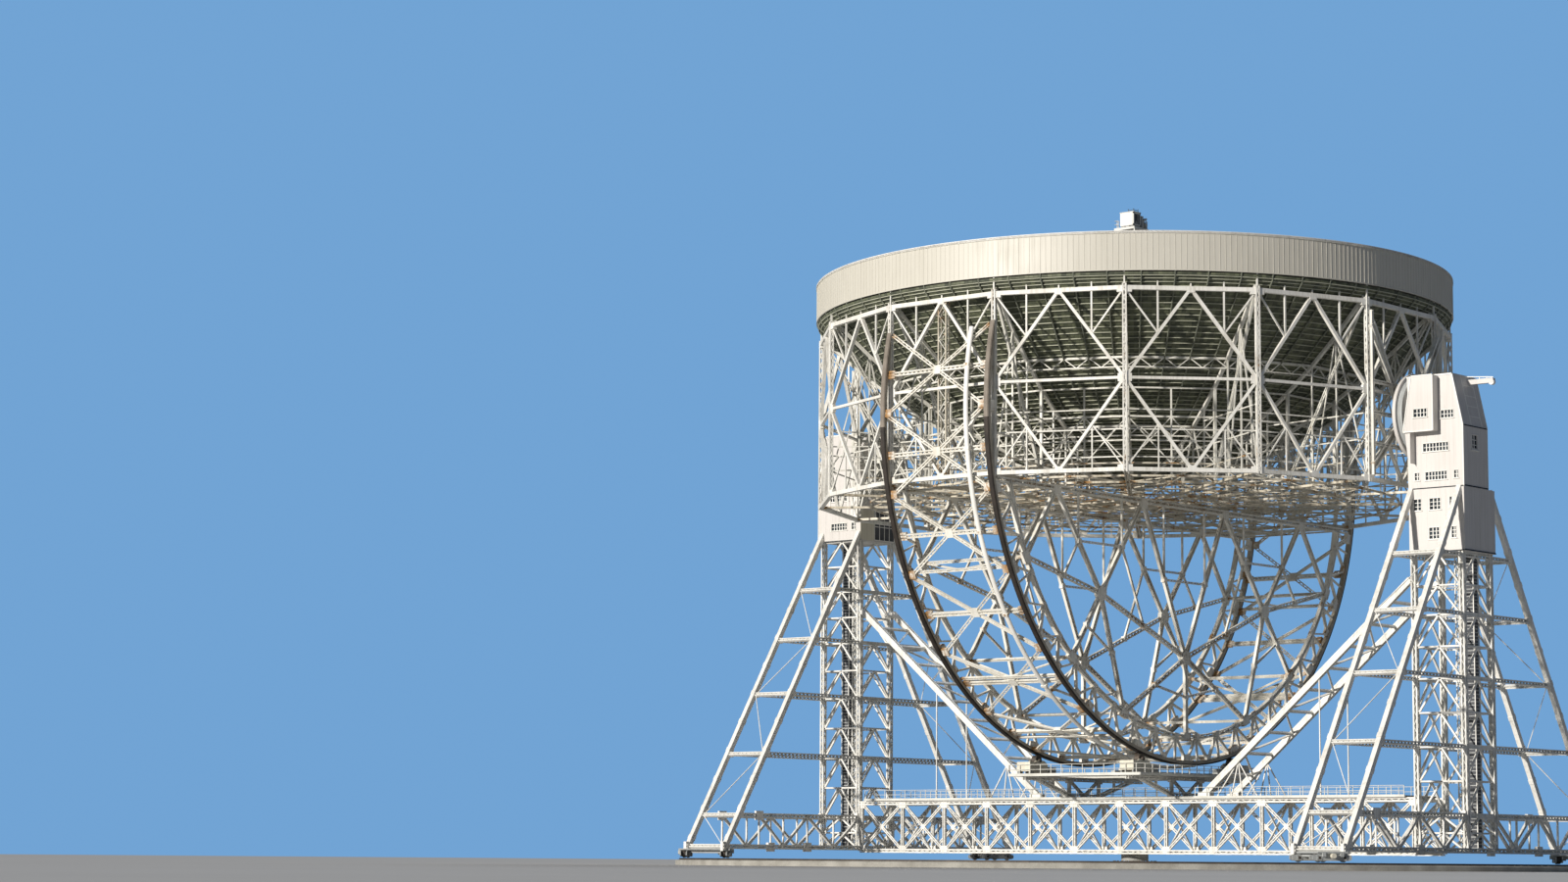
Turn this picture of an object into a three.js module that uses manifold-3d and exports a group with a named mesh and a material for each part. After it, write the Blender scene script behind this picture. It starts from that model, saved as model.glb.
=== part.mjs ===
// Steerable radio telescope dish, one tenth of its real size, +Z up.
// Lengths are metres of the real telescope. The group at the end scales them to millimetres of the model.
// Origin: on the ground, on the axis that the whole telescope turns about. X runs along the elevation axis,
// from the left tower to the right one, and -Y is the front.
import * as THREE from "three";
import { mergeVertices } from "three/addons/utils/BufferGeometryUtils.js";
import Module from "manifold-3d";

const wasm = await Module();
wasm.setup();

const modelScale = 100; // millimetres of the model for each real metre
const seat = 0.003; // 0.3 mm of the model between pieces that touch
const running = 0.05; // 5 mm of the model between a wheel and its rail
const depthStep = 0.014;
const depthSteps = 5;

// Bowl
const axisHeight = 50.5; // elevation axis above the ground
const rimRadius = 38.1;
const bandTop = 69.3;
const bandBottom = 64.9;
const sheetThickness = 0.25;
const membraneVertex = 46.3; // lowest point of the lower dish surface
const membraneRise = 18.7;
const reflectorVertex = 53.4; // lowest point of the reflecting surface
const reflectorRise = 15.8;
const dishSides = 48;
const bays = 16; // sides of the lattice wall under the rim
const wallRadius = 37.64; // to the middle of a post
const topRing = 63.06;
const midRing = 53.13;
const bottomRing = 43.06;
const dishRadii = [0, 12.5, 25.5]; // breaks of both dish surfaces, before their edge
const innerRing = 25.5; // rings of the floor lattice; the radial trusses stand on the inner one
const outerRing = 31.5;
const postWide = 0.8;
const postDeep = 0.6;
const floorDepth = 0.6;

// Two half wheels under the bowl
const wheelX = 7.35;
const treadRadius = 38.5;
const rimBoxInner = 37.4;
const rimWide = 0.9;
const wheelChord = 35.4; // outside of the inner chord
const wheelEnd = THREE.MathUtils.degToRad(107); // from straight down, where the rims run onto the posts
const webTop = 42.45; // height of the chord under the floor lattice
const webDeep = 0.5;

// Towers
const innerFrameX = 39.9;
const outerFrameX = 45.9;
const frameDeep = 0.6;
const columnY = 3;
const footY = 28.1;
const footZ = 2.23;
const legTop = [3.2, 42];
const baseTop = 6;
const tieLevels = [34.5, 28, 21, 13.5];
const cabinFront = 3.4; // half the depth of the cabins along Y
const upperBack = 1.9; // the right tower's upper cabin reaches less far back
const cabinWall = 0.3;
const cabinInnerX = 39.6;
const cabinOuterX = 46.5;
const cabinTop = 54.65;
const cabinSeam = 42; // between the two cabins of the right tower
const lowerCabinLow = 34.9;
const leftCabinLow = 41;

// Turntable
const trackRadii = [48.9, 53.75];
const bogieRadius = 51.3;
const trackSides = 40;
const railTop = 0.8;
const wheelRadius = 0.45;
const girderBottom = 1.9;
const girderTop = 7.8;
const deckTop = 8.25;
const platformTop = 10.8;

const vec = (p) => new THREE.Vector3(...p);

// A closed geometry as a solid that can be joined and cut.
function solid(geometry) {
  const bare = geometry.clone();
  bare.deleteAttribute("normal");
  bare.deleteAttribute("uv");
  const merged = mergeVertices(bare, 1e-5);
  return new wasm.Manifold(
    new wasm.Mesh({
      numProp: 3,
      vertProperties: new Float32Array(merged.attributes.position.array),
      triVerts: new Uint32Array(merged.index.array),
    }),
  );
}

const joined = (solids) => solids.reduce((sum, next) => sum.add(next));

// A box between two corners.
function block(low, high) {
  const size = high.map((v, i) => v - low[i]);
  const g = new THREE.BoxGeometry(...size);
  return solid(g.translate(...low.map((v, i) => v + size[i] / 2)));
}

// A straight bar: wide across the lattice it lies in, deep along that lattice's normal.
const bar = (from, to, wide, deep, normal, past = wide / 3) => ({ from, to, wide, deep, normal, past });

function barSolid({ from, to, wide, deep, normal, past }, grow) {
  const start = vec(from);
  const end = vec(to);
  const along = end.clone().sub(start);
  const length = along.length() + 2 * past + 2 * grow;
  along.normalize();
  const side = new THREE.Vector3().crossVectors(along, vec(normal)).normalize();
  const out = new THREE.Vector3().crossVectors(along, side);
  const middle = start.add(end).multiplyScalar(0.5);
  const g = new THREE.BoxGeometry(wide + 2 * grow, deep + 2 * grow, length);
  return solid(g.applyMatrix4(new THREE.Matrix4().makeBasis(side, out, along).setPosition(middle)));
}

const lattice = (bars, grow = 0) => joined(bars.map((b) => barSolid(b, grow)));

// Bars that cross in a turned plane differ a little in depth, so that no two faces nearly coincide.
const staggered = (bars) => bars.map((b, i) => ({ ...b, deep: b.deep - (i % depthSteps) * depthStep }));

// A closed profile of [radius, height] points turned about the Z axis.
function turned(profile, sides) {
  const points = profile.map(([r, z]) => new THREE.Vector2(r, z));
  return solid(new THREE.LatheGeometry(points, sides).rotateX(Math.PI / 2));
}

// A cylinder along X, Y or Z.
function drum(radius, from, to, sides, axis = "z", centre = [0, 0, 0]) {
  const g = new THREE.CylinderGeometry(radius, radius, to - from, sides);
  g.translate(0, (from + to) / 2, 0);
  if (axis === "z") g.rotateX(Math.PI / 2);
  if (axis === "x") g.rotateZ(-Math.PI / 2);
  return solid(g.translate(...centre));
}

// A ring sector in a plane of constant x, about the elevation axis. Angles run from straight down.
function sector(x, inner, outer, wide, from, to, steps) {
  const shape = new THREE.Shape();
  const down = -Math.PI / 2;
  shape.absarc(0, 0, outer, down + from, down + to, false);
  shape.absarc(0, 0, inner, down + to, down + from, true);
  return onSide(shape, x, wide, steps);
}

// A plate about the plane of constant x, from an outline of y and height above the elevation axis.
function onSide(outline, x, wide, steps = 1) {
  const g = new THREE.ExtrudeGeometry(outline, { depth: wide, bevelEnabled: false, curveSegments: steps });
  const facing = new THREE.Matrix4().makeBasis(vec([0, 1, 0]), vec([0, 0, 1]), vec([1, 0, 0]));
  return solid(g.translate(0, 0, x - wide / 2).applyMatrix4(facing).translate(0, 0, axisHeight));
}

const white = { color: 0xe4e2da, roughness: 0.55, metalness: 0.1 };
const finishes = {
  white,
  cream: { color: 0xd8d3bf, roughness: 0.6, metalness: 0.05 },
  cabin: { color: 0xe6e4dd, roughness: 0.6, metalness: 0.05 },
  green: { color: 0x4a5750, roughness: 0.7, metalness: 0.2 },
  grey: { color: 0x8c8a82, roughness: 0.6, metalness: 0.3 },
  reflector: { color: 0xc9cbc8, roughness: 0.45, metalness: 0.3 },
  concrete: { color: 0x9d9a92, roughness: 0.9, metalness: 0 },
  steel: { color: 0x6c6a66, roughness: 0.5, metalness: 0.6 },
};

const telescope = new THREE.Group();
let assembly = telescope; // the group that new pieces join

function startAssembly(name) {
  assembly = new THREE.Group();
  assembly.name = name;
  telescope.add(assembly);
}

function piece(name, made, finish) {
  const m = made.getMesh();
  const g = new THREE.BufferGeometry();
  g.setAttribute("position", new THREE.BufferAttribute(new Float32Array(m.vertProperties), 3));
  g.setIndex(new THREE.BufferAttribute(new Uint32Array(m.triVerts), 1));
  g.computeVertexNormals();
  const mesh = new THREE.Mesh(g, new THREE.MeshStandardMaterial(finishes[finish]));
  mesh.name = name;
  assembly.add(mesh);
  return mesh;
}

// Ground works

function railTrack() {
  const beam = [47.9, 54.3];
  const bed = 0.6;
  const half = 0.15;
  const profile = [[beam[0], 0], [beam[1], 0], [beam[1], bed]];
  for (const r of [...trackRadii].reverse()) {
    profile.push([r + half, bed], [r + half, railTop], [r - half, railTop], [r - half, bed]);
  }
  profile.push([beam[0], bed], [beam[0], 0]);
  piece("rail_track", turned(profile, trackSides), "concrete");
}

const pivot = { blockRadius: 3, blockTop: 0.8, pinRadius: 0.7, pinTop: 1.6, sides: 24 };

function pivotBlock() {
  const block = drum(pivot.blockRadius, 0, pivot.blockTop, pivot.sides);
  piece("pivot_block", block.add(drum(pivot.pinRadius, 0.5, pivot.pinTop, pivot.sides)), "concrete");
}

// Turntable

const girderEnd = innerFrameX - frameDeep / 2 - seat;

function diametralGirder(name, y) {
  const facing = [0, 1, 0];
  const panels = 12;
  const reach = girderEnd - 0.2;
  const at = (i) => -reach + (2 * reach * i) / panels;
  const bars = [
    bar([-girderEnd, y, girderBottom], [girderEnd, y, girderBottom], 0.5, 0.5, facing, 0),
    bar([-girderEnd, y, girderTop], [girderEnd, y, girderTop], 0.5, 0.5, facing, 0),
  ];
  for (let i = 0; i <= panels; i++) {
    bars.push(bar([at(i), y, girderBottom], [at(i), y, girderTop], 0.35, 0.35, facing, 0));
    if (i === panels) continue;
    const down = i % 2 === 0;
    bars.push(bar([at(i), y, down ? girderTop : girderBottom], [at(i + 1), y, down ? girderBottom : girderTop],
      0.35, 0.35, facing, 0));
  }
  piece(name, lattice(bars), "white");
}

function girderDeck() {
  const low = girderTop + 0.25 + seat;
  piece("girder_deck", block([-38.6, -3.6, low], [38.6, 3.6, deckTop]), "grey");
}

// Cross members between the two girders, and the socket that turns on the pivot pin.
function girderCrossFrames() {
  const y = columnY - 0.25 - seat;
  const up = [0, 0, 1];
  const bars = [];
  const stations = 4;
  const reach = 36;
  const at = (i) => -reach + (2 * reach * i) / stations;
  for (let i = 0; i <= stations; i++) {
    bars.push(bar([at(i), -y, girderBottom], [at(i), y, girderBottom], 0.4, 0.4, up, 0));
  }
  bars.push(bar([-reach, 0, girderBottom], [reach, 0, girderBottom], 0.4, 0.3, up, 0));
  const socket = drum(1.6, pivot.blockTop + running, girderBottom + 0.1, pivot.sides);
  const bore = (pivot.pinRadius + 0.005) / Math.cos(Math.PI / pivot.sides);
  const made = lattice(bars).add(socket);
  piece("girder_cross_frames", made.subtract(drum(bore, 0, pivot.pinTop + seat, pivot.sides)), "white");
}

function bogie(name, sideX, sideY) {
  const angle = Math.atan2(sideY * footY, (sideX * (innerFrameX + outerFrameX)) / 2);
  const low = railTop + running;
  const made = [block([-3.2, -2.2, low + wheelRadius], [3.2, 2.2, footZ - 0.275 - seat])];
  for (const radius of trackRadii) {
    for (const along of [-1.4, 1.4]) {
      const x = radius - bogieRadius;
      made.push(drum(wheelRadius, x - 0.15, x + 0.15, 12, "x", [0, along, low + wheelRadius]));
    }
  }
  const mesh = piece(name, joined(made), "steel");
  mesh.rotation.z = angle;
  mesh.position.set(bogieRadius * Math.cos(angle), bogieRadius * Math.sin(angle), 0);
}

// Towers

const legY = (z) => legTop[0] + ((legTop[1] - z) * (footY - legTop[0])) / (legTop[1] - footZ);

// One flat side of a tower: two columns, two raking legs, ties and the base girder under them.
function sideFrameBars(x, columnTop) {
  const facing = [1, 0, 0];
  const levels = [...tieLevels, baseTop];
  const member = (from, to, wide, deep) => bar([x, ...from], [x, ...to], wide, deep, facing, 0);
  const bars = [
    member([-footY - 0.5, footZ], [footY + 0.5, footZ], 0.55, frameDeep),
    ...levels.map((z) => member([-legY(z), z], [legY(z), z], 0.4, 0.4)),
  ];
  for (const s of [-1, 1]) {
    bars.push(member([s * columnY, footZ], [s * columnY, columnTop], 0.6, frameDeep));
    bars.push(member([s * footY, footZ], [s * legTop[0], legTop[1]], 0.8, 0.56));
    bars.push(member([s * columnY, baseTop], [s * 13, footZ], 0.3, 0.3), member([s * 13, footZ], [s * 22, baseTop], 0.3, 0.3));
  }
  return bars;
}

// The bars between a tower's raking legs, on its front face (-1) or its back one (1).
function legBracingBars(side, face) {
  const from = side * (innerFrameX + frameDeep / 2 + seat);
  const to = side * (outerFrameX - frameDeep / 2 - seat);
  const inset = 0.22 * side;
  const levels = [...tieLevels, baseTop, footZ];
  const rake = (footY - legTop[0]) / (legTop[1] - footZ);
  const facing = [0, face, rake];
  const at = (x, z) => [x, face * legY(z), z];
  return levels.flatMap((z, i) => {
    const tie = bar(at(from, z), at(to, z), 0.4, 0.4, facing, 0);
    if (i + 1 === levels.length) return [tie];
    const [a, b] = i % 2 ? [from + inset, to - inset] : [to - inset, from + inset];
    return [tie, bar(at(a, z), at(b, levels[i + 1]), 0.3, 0.3, facing, 0)];
  });
}

// A prism along Y between two faces, from an outline of x and height.
function alongY(outline, from, to) {
  const shape = new THREE.Shape(outline.map((p) => new THREE.Vector2(...p)));
  const g = new THREE.ExtrudeGeometry(shape, { depth: to - from, bevelEnabled: false });
  return solid(g.rotateX(Math.PI / 2).translate(0, to, 0));
}

// A cabin's outer or inner form. The outer shoulder is cut off where it has one.
function cabinPrism(side, low, high, inset, shoulder, back = cabinFront) {
  const points = [[cabinInnerX + inset, low + inset], [cabinOuterX - inset, low + inset]];
  if (shoulder) {
    points.push([cabinOuterX - inset, high - 5.85 - inset * 0.2], [cabinOuterX - 1.25 - inset, high - inset]);
  } else {
    points.push([cabinOuterX - inset, high - inset]);
  }
  points.push([cabinInnerX + inset, high - inset]);
  return alongY(points.map(([x, z]) => [side * x, z]), inset - cabinFront, back - inset);
}

// Window openings: middle x, sill, width, height. Those on the outer end give y instead of x.
const windowRows = {
  right_cabin: { face: [[40.7, 42.95, 0.6, 0.9], [43.1, 42.9, 2.7, 0.95], [45.6, 42.95, 0.55, 0.9],
    [43.1, 46.1, 3.2, 0.95], [44.6, 49.7, 1.6, 0.9]], end: [[-0.8, 46.4, 1.05, 1.45]], floors: [45.4, 49] },
  right_lower_cabin: { face: [[40.7, 39.6, 1, 1.3], [42.9, 39.6, 1.4, 1.3], [45, 39.75, 0.6, 1.2],
    [42.75, 36.35, 1.3, 1.3], [45.2, 36.35, 0.6, 1.3]], end: [], floors: [38.4] },
  left_cabin: { face: [[40.7, 42.4, 0.7, 0.9], [43.1, 42.4, 2.6, 0.9], [43.1, 46.1, 3.2, 0.95],
    [44.6, 49.7, 1.6, 0.9]], end: [[0, 46.4, 1.05, 1.45]], floors: [45.4, 49] },
};

// The jib beam and the closed bay on the front of the right cabin.
const jib = () => block([43, -0.25, 53.65], [48.6, 0.25, 54.15]).subtract(cabinPrism(1, cabinSeam, cabinTop, 0.1, true, upperBack));

function bay() {
  const front = -cabinFront - 1.25;
  const behind = -cabinFront + cabinWall + 0.1;
  const [low, high, outer] = [48.3, 54.5, 43.5];
  const lowInner = 39.75;
  const highInner = 40.83;
  const form = [[lowInner, low], [outer, low], [outer, high], [highInner, high]];
  const inside = [[lowInner + 0.35, low + 0.7], [outer - 0.15, low + 0.7], [outer - 0.15, high - 0.25],
    [highInner + 0.2, high - 0.25]];
  const shell = alongY(form, front, -cabinFront + 0.1);
  const fin = alongY([[39.85, low + 0.1], [40.5, low + 0.1], [40.5, 44.8], [40.2, 45.2]], front + 0.2, -cabinFront + 0.1);
  const room = alongY(inside, front + 0.15, behind);
  const pane = block([41.1, front - 1, 49.85], [42.8, front + 1, 50.8]);
  return { shell: shell.add(fin), room: room.add(pane) };
}

function cabin(name, side, low, high, shoulder, cutBy, back) {
  const rows = windowRows[name];
  const form = (inset) => cabinPrism(side, low, high, inset, shoulder, back);
  let made = form(0).subtract(form(cabinWall));
  for (const z of rows.floors) {
    made = made.add(block([-50, -cabinFront, z - 0.25], [50, cabinFront, z]).intersect(form(0.1)));
  }
  const through = 2 * cabinFront;
  for (const [x, sill, wide, tall] of rows.face) {
    made = made.subtract(block([side * x - wide / 2, -through, sill], [side * x + wide / 2, through, sill + tall]));
  }
  for (const [y, sill, wide, tall] of rows.end) {
    const [a, b] = [side * 45, side * 48].sort((p, q) => p - q);
    made = made.subtract(block([a, y - wide / 2, sill], [b, y + wide / 2, sill + tall]));
  }
  if (name === "right_cabin") {
    const { shell, room } = bay();
    made = made.add(jib()).add(shell).subtract(room);
  }
  piece(name, made.subtract(cutBy), "cabin");
}

const trunnion = { shaft: 1.1, shaftSides: 48, hub: 2.4, from: 37.296, plate: 37.8, to: 40.4, sides: 24 };

// A cylinder on the elevation axis, between two distances out along one side.
function axle(side, from, to, radius, sides = trunnion.sides) {
  const [a, b] = [side * from, side * to].sort((p, q) => p - q);
  return drum(radius, a, b, sides, "x", [0, 0, axisHeight]);
}

function drumCover(name, side) {
  const { shaft, shaftSides } = trunnion;
  const bore = (shaft + seat) / Math.cos(Math.PI / shaftSides);
  piece(name, axle(side, 38.5, cabinInnerX - seat, 4.95, 36).subtract(axle(side, 38, 40, bore, shaftSides)), "cabin");
}

// Two raking struts from a tower down to the girder deck, with rungs between them.
function rakingStruts(name, side) {
  const top = [innerFrameX, 32.4];
  const foot = [11.6, deckTop];
  const at = (t) => [side * (top[0] + (foot[0] - top[0]) * t), top[1] + (foot[1] - top[1]) * t];
  const facing = [side * (top[1] - foot[1]), 0, -(top[0] - foot[0])];
  const point = (t, y) => {
    const [x, z] = at(t);
    return [x, y, z];
  };
  const bars = [];
  for (const y of [-columnY, columnY]) bars.push(bar(point(0, y), point(1, y), 0.7, 0.6, facing, 0.5));
  for (const t of [0.2, 0.4, 0.6, 0.8]) bars.push(bar(point(t, -columnY), point(t, columnY), 0.35, 0.35, facing, 0));
  for (const [a, b, s] of [[0.2, 0.4, 1], [0.4, 0.6, -1], [0.6, 0.8, 1]]) {
    bars.push(bar(point(a, -s * columnY), point(b, s * columnY), 0.3, 0.3, facing, 0));
  }
  const reach = [girderEnd, 60].map((v) => side * v).sort((p, q) => p - q);
  const tower = block([reach[0], -10, 25], [reach[1], 10, 40]);
  const deck = block([-30, -10, 0], [30, 10, deckTop + seat]);
  piece(name, lattice(bars).subtract(tower).subtract(deck), "white");
}

// Roller platform under the half wheels

const deckLow = platformTop - 0.2;

function rollerPlatform() {
  const slab = block([-9.4, -12.3, deckLow], [9.4, 12.3, platformTop]);
  const front = block([-5.2, -9, 0], [5.2, -1.2, 20]);
  const back = block([-5.2, 1.2, 0], [5.2, 9, 20]);
  piece("roller_platform", slab.subtract(front).subtract(back), "grey");
}

function cradle(name, side) {
  const x = side * wheelX;
  const facing = [1, 0, 0];
  const low = deckTop + seat + 0.25;
  const high = deckLow - seat - 0.2;
  const bars = [
    bar([x, -3.2, low], [x, 3.2, low], 0.5, 0.5, facing, 0),
    bar([x, -12, high], [x, 12, high], 0.4, 0.5, facing, 0),
  ];
  for (const s of [-1, 1]) {
    bars.push(bar([x, s * 3, low], [x, s * 9.5, high], 0.4, 0.4, facing, 0));
    bars.push(bar([x, s * 3, low], [x, s * 3, high], 0.35, 0.35, facing, 0));
    bars.push(bar([x, s * 3, high], [x, 0, low], 0.3, 0.3, facing, 0));
  }
  piece(name, lattice(bars), "white");
}

function rollerCarriages(name, side) {
  const x = side * wheelX;
  const rollerRadius = 0.6;
  const rollerAngle = 0.245;
  const low = platformTop + seat;
  const made = [block([x - 0.55, -10.9, low], [x + 0.55, 10.9, low + 0.3])];
  for (const s of [-1, 1]) {
    const ends = [s * 8, s * 10.9].sort((p, q) => p - q);
    for (const cheek of [-1, 1]) {
      const faces = [x + cheek * 0.33, x + cheek * 0.55].sort((p, q) => p - q);
      made.push(block([faces[0], ends[0], low], [faces[1], ends[1], 12.5]));
    }
    const reach = treadRadius + running + rollerRadius;
    const centre = [0, s * reach * Math.sin(rollerAngle), axisHeight - reach * Math.cos(rollerAngle)];
    made.push(drum(rollerRadius, x - 0.4, x + 0.4, 12, "x", centre));
  }
  piece(name, joined(made), "cream");
}

// Bowl

const polar = (r, angle, z) => [r * Math.cos(angle), r * Math.sin(angle), z];
const postAngle = (k) => ((k + 0.5) * 2 * Math.PI) / bays;
const midAngle = (k) => ((k + 1) * 2 * Math.PI) / bays;
const apothem = wallRadius * Math.cos(Math.PI / bays);

const curve = (vertex, rise, r) => vertex + rise * (r / rimRadius) ** 2;
// A dish of even thickness. Its edge stands just inside the rim band.
function dish(vertex, rise, thickness) {
  const radii = [...dishRadii, rimRadius - sheetThickness - seat];
  const upper = radii.map((r) => [r, curve(vertex, rise, r)]);
  const lower = radii.map((r) => [r, curve(vertex, rise, r) - thickness]);
  return turned([...lower, ...upper.reverse()], dishSides);
}

const membrane = dish(membraneVertex, membraneRise, sheetThickness);

function rimBand() {
  const inner = rimRadius - sheetThickness;
  const profile = [[inner, bandBottom], [rimRadius, bandBottom], [rimRadius, bandTop], [inner, bandTop],
    [inner, bandBottom]];
  piece("rim_band", turned(profile, dishSides), "cream");
}

// Underside of the lower dish surface above a point under the middle of one of its flat sides.
function membraneUnder(distance) {
  const r = distance / Math.cos(Math.PI / dishSides);
  const breaks = [...dishRadii, rimRadius - sheetThickness - seat];
  const i = Math.max(0, breaks.findIndex((b) => b >= r) - 1);
  const [a, b] = [breaks[i], breaks[i + 1]];
  const [za, zb] = [a, b].map((v) => curve(membraneVertex, membraneRise, v));
  return za + ((zb - za) * (r - a)) / (b - a) - sheetThickness;
}

const postBar = (k) => {
  const a = postAngle(k);
  const top = membraneUnder(wallRadius - postDeep / 2) - seat;
  return bar(polar(wallRadius, a, bottomRing - 0.3), polar(wallRadius, a, top), postWide, postDeep, polar(1, a, 0), 0);
};

// The bars of one bay of the lattice wall, from its post to the next.
function bayBars(k) {
  const [a, b, m] = [postAngle(k), postAngle(k + 1), midAngle(k)];
  const facing = polar(1, m, 0);
  const at = (angle, z) => polar(angle === m ? apothem : wallRadius, angle, z);
  const bars = [
    bar(at(a, topRing), at(b, topRing), 0.55, 0.5, facing, 0),
    bar(at(a, midRing), at(b, midRing), 0.4, 0.38, facing, 0),
    bar(at(a, bottomRing), at(b, bottomRing), 0.6, 0.5, facing, 0),
  ];
  for (const end of [a, b]) {
    bars.push(bar(at(m, topRing), at(end, midRing), 0.45, 0.42, facing, 0));
    bars.push(bar(at(m, bottomRing), at(end, midRing), 0.45, 0.42, facing, 0));
  }
  return [postBar(k), ...staggered(bars)];
}

function wallQuarter(name, first) {
  const bars = [0, 1, 2, 3].flatMap((i) => bayBars(first + i));
  const next = lattice([postBar(first + 4)], seat);
  piece(name, lattice(bars).subtract(next), "white");
}

function floorLattice() {
  const up = [0, 0, 1];
  const edge = wallRadius - postDeep / 2 - 3 * seat;
  const bars = [];
  for (let k = 0; k < bays; k++) {
    const [a, b] = [postAngle(k), postAngle(k + 1)];
    bars.push(bar(polar(2, a, bottomRing), polar(edge, a, bottomRing), 0.5, floorDepth, up, 0));
    for (const r of [innerRing, outerRing]) {
      bars.push(bar(polar(r, a, bottomRing), polar(r, b, bottomRing), 0.4, 0.5, up, 0));
    }
  }
  const hub = drum(3, bottomRing - floorDepth / 2, bottomRing + floorDepth / 2, bays);
  piece("floor_lattice", lattice(bars).add(hub), "white");
}

function centreColumn() {
  const low = bottomRing + floorDepth / 2 + seat;
  piece("centre_column", drum(1.5, low, membraneVertex - sheetThickness - seat, bays), "white");
}

// One radial truss between the floor lattice and the lower dish surface.
const chordDeep = 0.5;
const trussWide = 0.4;

function trussBars(k) {
  const a = postAngle(k);
  const facing = polar(1, a + Math.PI / 2, 0);
  const flat = Math.cos(Math.PI / dishSides);
  const [r1, r2, r3] = [dishRadii[1] * flat, dishRadii[2] * flat, apothem - 0.6];
  const low = bottomRing + floorDepth / 2 + seat;
  // The chord hangs half its depth and the seat below the sheet, square to its slope.
  const hung = (r, slope) => membraneUnder(r) - (chordDeep / 2 + seat) * Math.hypot(1, slope);
  const chord = (p, q) => {
    const slope = (membraneUnder(q) - membraneUnder(p)) / (q - p);
    return bar(polar(p, a, hung(p, slope)), polar(q, a, hung(q, slope)), chordDeep, trussWide, facing, 0);
  };
  const under = (r) => membraneUnder(r) - chordDeep;
  return [
    chord(r1, r2),
    chord(r2, r3),
    bar(polar(r2, a, low), polar(r2, a, under(r2)), 0.35, 0.34, facing, 0),
    bar(polar(r1, a, under(r1)), polar(r2, a, low + 0.3), 0.3, 0.28, facing, 0),
    bar(polar(r2, a, low + 0.3), polar(r3 - 0.3, a, under(r3 - 0.3)), 0.3, 0.28, facing, 0),
  ];
}

function trussQuarter(name, first) {
  const ring = dishRadii[2] * Math.cos(Math.PI / dishSides);
  const under = membraneUnder(ring) - 1.2;
  const bars = [0, 1, 2, 3].flatMap((i) => staggered(trussBars(first + i)));
  for (let i = 0; i < 4; i++) {
    const [a, b] = [postAngle(first + i), postAngle(first + i + 1)];
    const [from, to] = [vec(polar(ring, a, under)), vec(polar(ring, b, under))];
    const stop = i === 3 ? to.lerp(from, 0.03) : to;
    bars.push(bar(from.toArray(), stop.toArray(), 0.4, 0.25, polar(1, midAngle(first + i), 0), 0));
  }
  piece(name, lattice(bars), "white");
}

function vertexHub() {
  const radius = 2.2;
  const slope = curve(0, membraneRise, dishRadii[1]) / dishRadii[1];
  const low = membraneVertex + slope * radius + seat;
  piece("vertex_hub", drum(radius, low, reflectorVertex - 0.2 - seat, 16), "white");
}

// Half wheels

const onWheel = (x, radius, phi) => [x, radius * Math.sin(phi), axisHeight - radius * Math.cos(phi)];

function wheel(name, side) {
  const x = side * wheelX;
  const facing = [1, 0, 0];
  const low = wheelChord - 0.25;
  const chordEnd = Math.acos((axisHeight - webTop) / wheelChord);
  const made = [
    sector(x, rimBoxInner, treadRadius, rimWide, -wheelEnd, wheelEnd, 26),
    sector(x, wheelChord - 0.5, wheelChord, webDeep, -chordEnd, chordEnd, 15),
  ];
  const bars = [bar([x, -37, webTop], [x, 37, webTop], 0.6, webDeep, facing, 0)];
  const steps = 10;
  const phi = (i) => -chordEnd + (2 * chordEnd * i) / steps;
  for (let i = 0; i < steps; i++) {
    const radii = i % 2 ? [low, rimBoxInner + 0.2] : [rimBoxInner + 0.2, low];
    bars.push(bar(onWheel(x, radii[0], phi(i)), onWheel(x, radii[1], phi(i + 1)), 0.3, webDeep, facing, 0));
  }
  const hubs = [[-17, 31.1], [0, 24.6], [17, 31.1]];
  const point = ([y, z]) => [x, y, z];
  const onChord = (angle) => onWheel(x, low, THREE.MathUtils.degToRad(angle));
  const spokes = [
    [onChord(-62.5), point(hubs[0])], [point(hubs[0]), point(hubs[1])], [point(hubs[1]), point(hubs[2])],
    [point(hubs[2]), onChord(62.5)],
    [point([-25.5, webTop]), point(hubs[0])], [point(hubs[0]), point([-8.5, webTop])],
    [point([-8.5, webTop]), point(hubs[1])], [point(hubs[1]), point([8.5, webTop])],
    [point([8.5, webTop]), point(hubs[2])], [point(hubs[2]), point([25.5, webTop])],
    [onChord(-62.5), point([-25.5, webTop])], [onChord(62.5), point([25.5, webTop])],
    [point(hubs[0]), onChord(-40)], [point(hubs[2]), onChord(40)],
    [point(hubs[0]), onChord(-21)], [point(hubs[2]), onChord(21)],
    [point(hubs[1]), onChord(-21)], [point(hubs[1]), onChord(21)], [point(hubs[1]), onChord(0)],
  ];
  for (const [from, to] of spokes) bars.push(bar(from, to, 0.5, webDeep, facing, 0));
  for (const [y, z] of hubs) bars.push(bar([x, y - 1, z], [x, y + 1, z], 2, webDeep, facing, 0));
  made.push(lattice(bars));
  let body = joined(made);
  const posts = [-1, 1].map((s) => {
    const faces = [s * (apothem - 2), s * (apothem + 0.295 + 0.085 + seat)].sort((p, q) => p - q);
    return block([x - 2, faces[0], bottomRing - 0.3 - seat], [x + 2, faces[1], bandBottom]);
  });
  for (const cut of posts) body = body.subtract(cut);
  piece(name, body, "white");
}

// Cross bracing on the round face between the two rims, and the tube that runs along it.
// Its diagonals run between corners on the rims, and a cross member passes through the middle of each.
const bracing = { corner: 38.2, deep: 0.3, corners: [0, 15.5, 31, 46.5, 62, 76.2, 90, 104].map(THREE.MathUtils.degToRad) };
const tube = { x: 4.7, wide: 0.6, deep: 0.35, low: 38.45, end: THREE.MathUtils.degToRad(103.5) };

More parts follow.
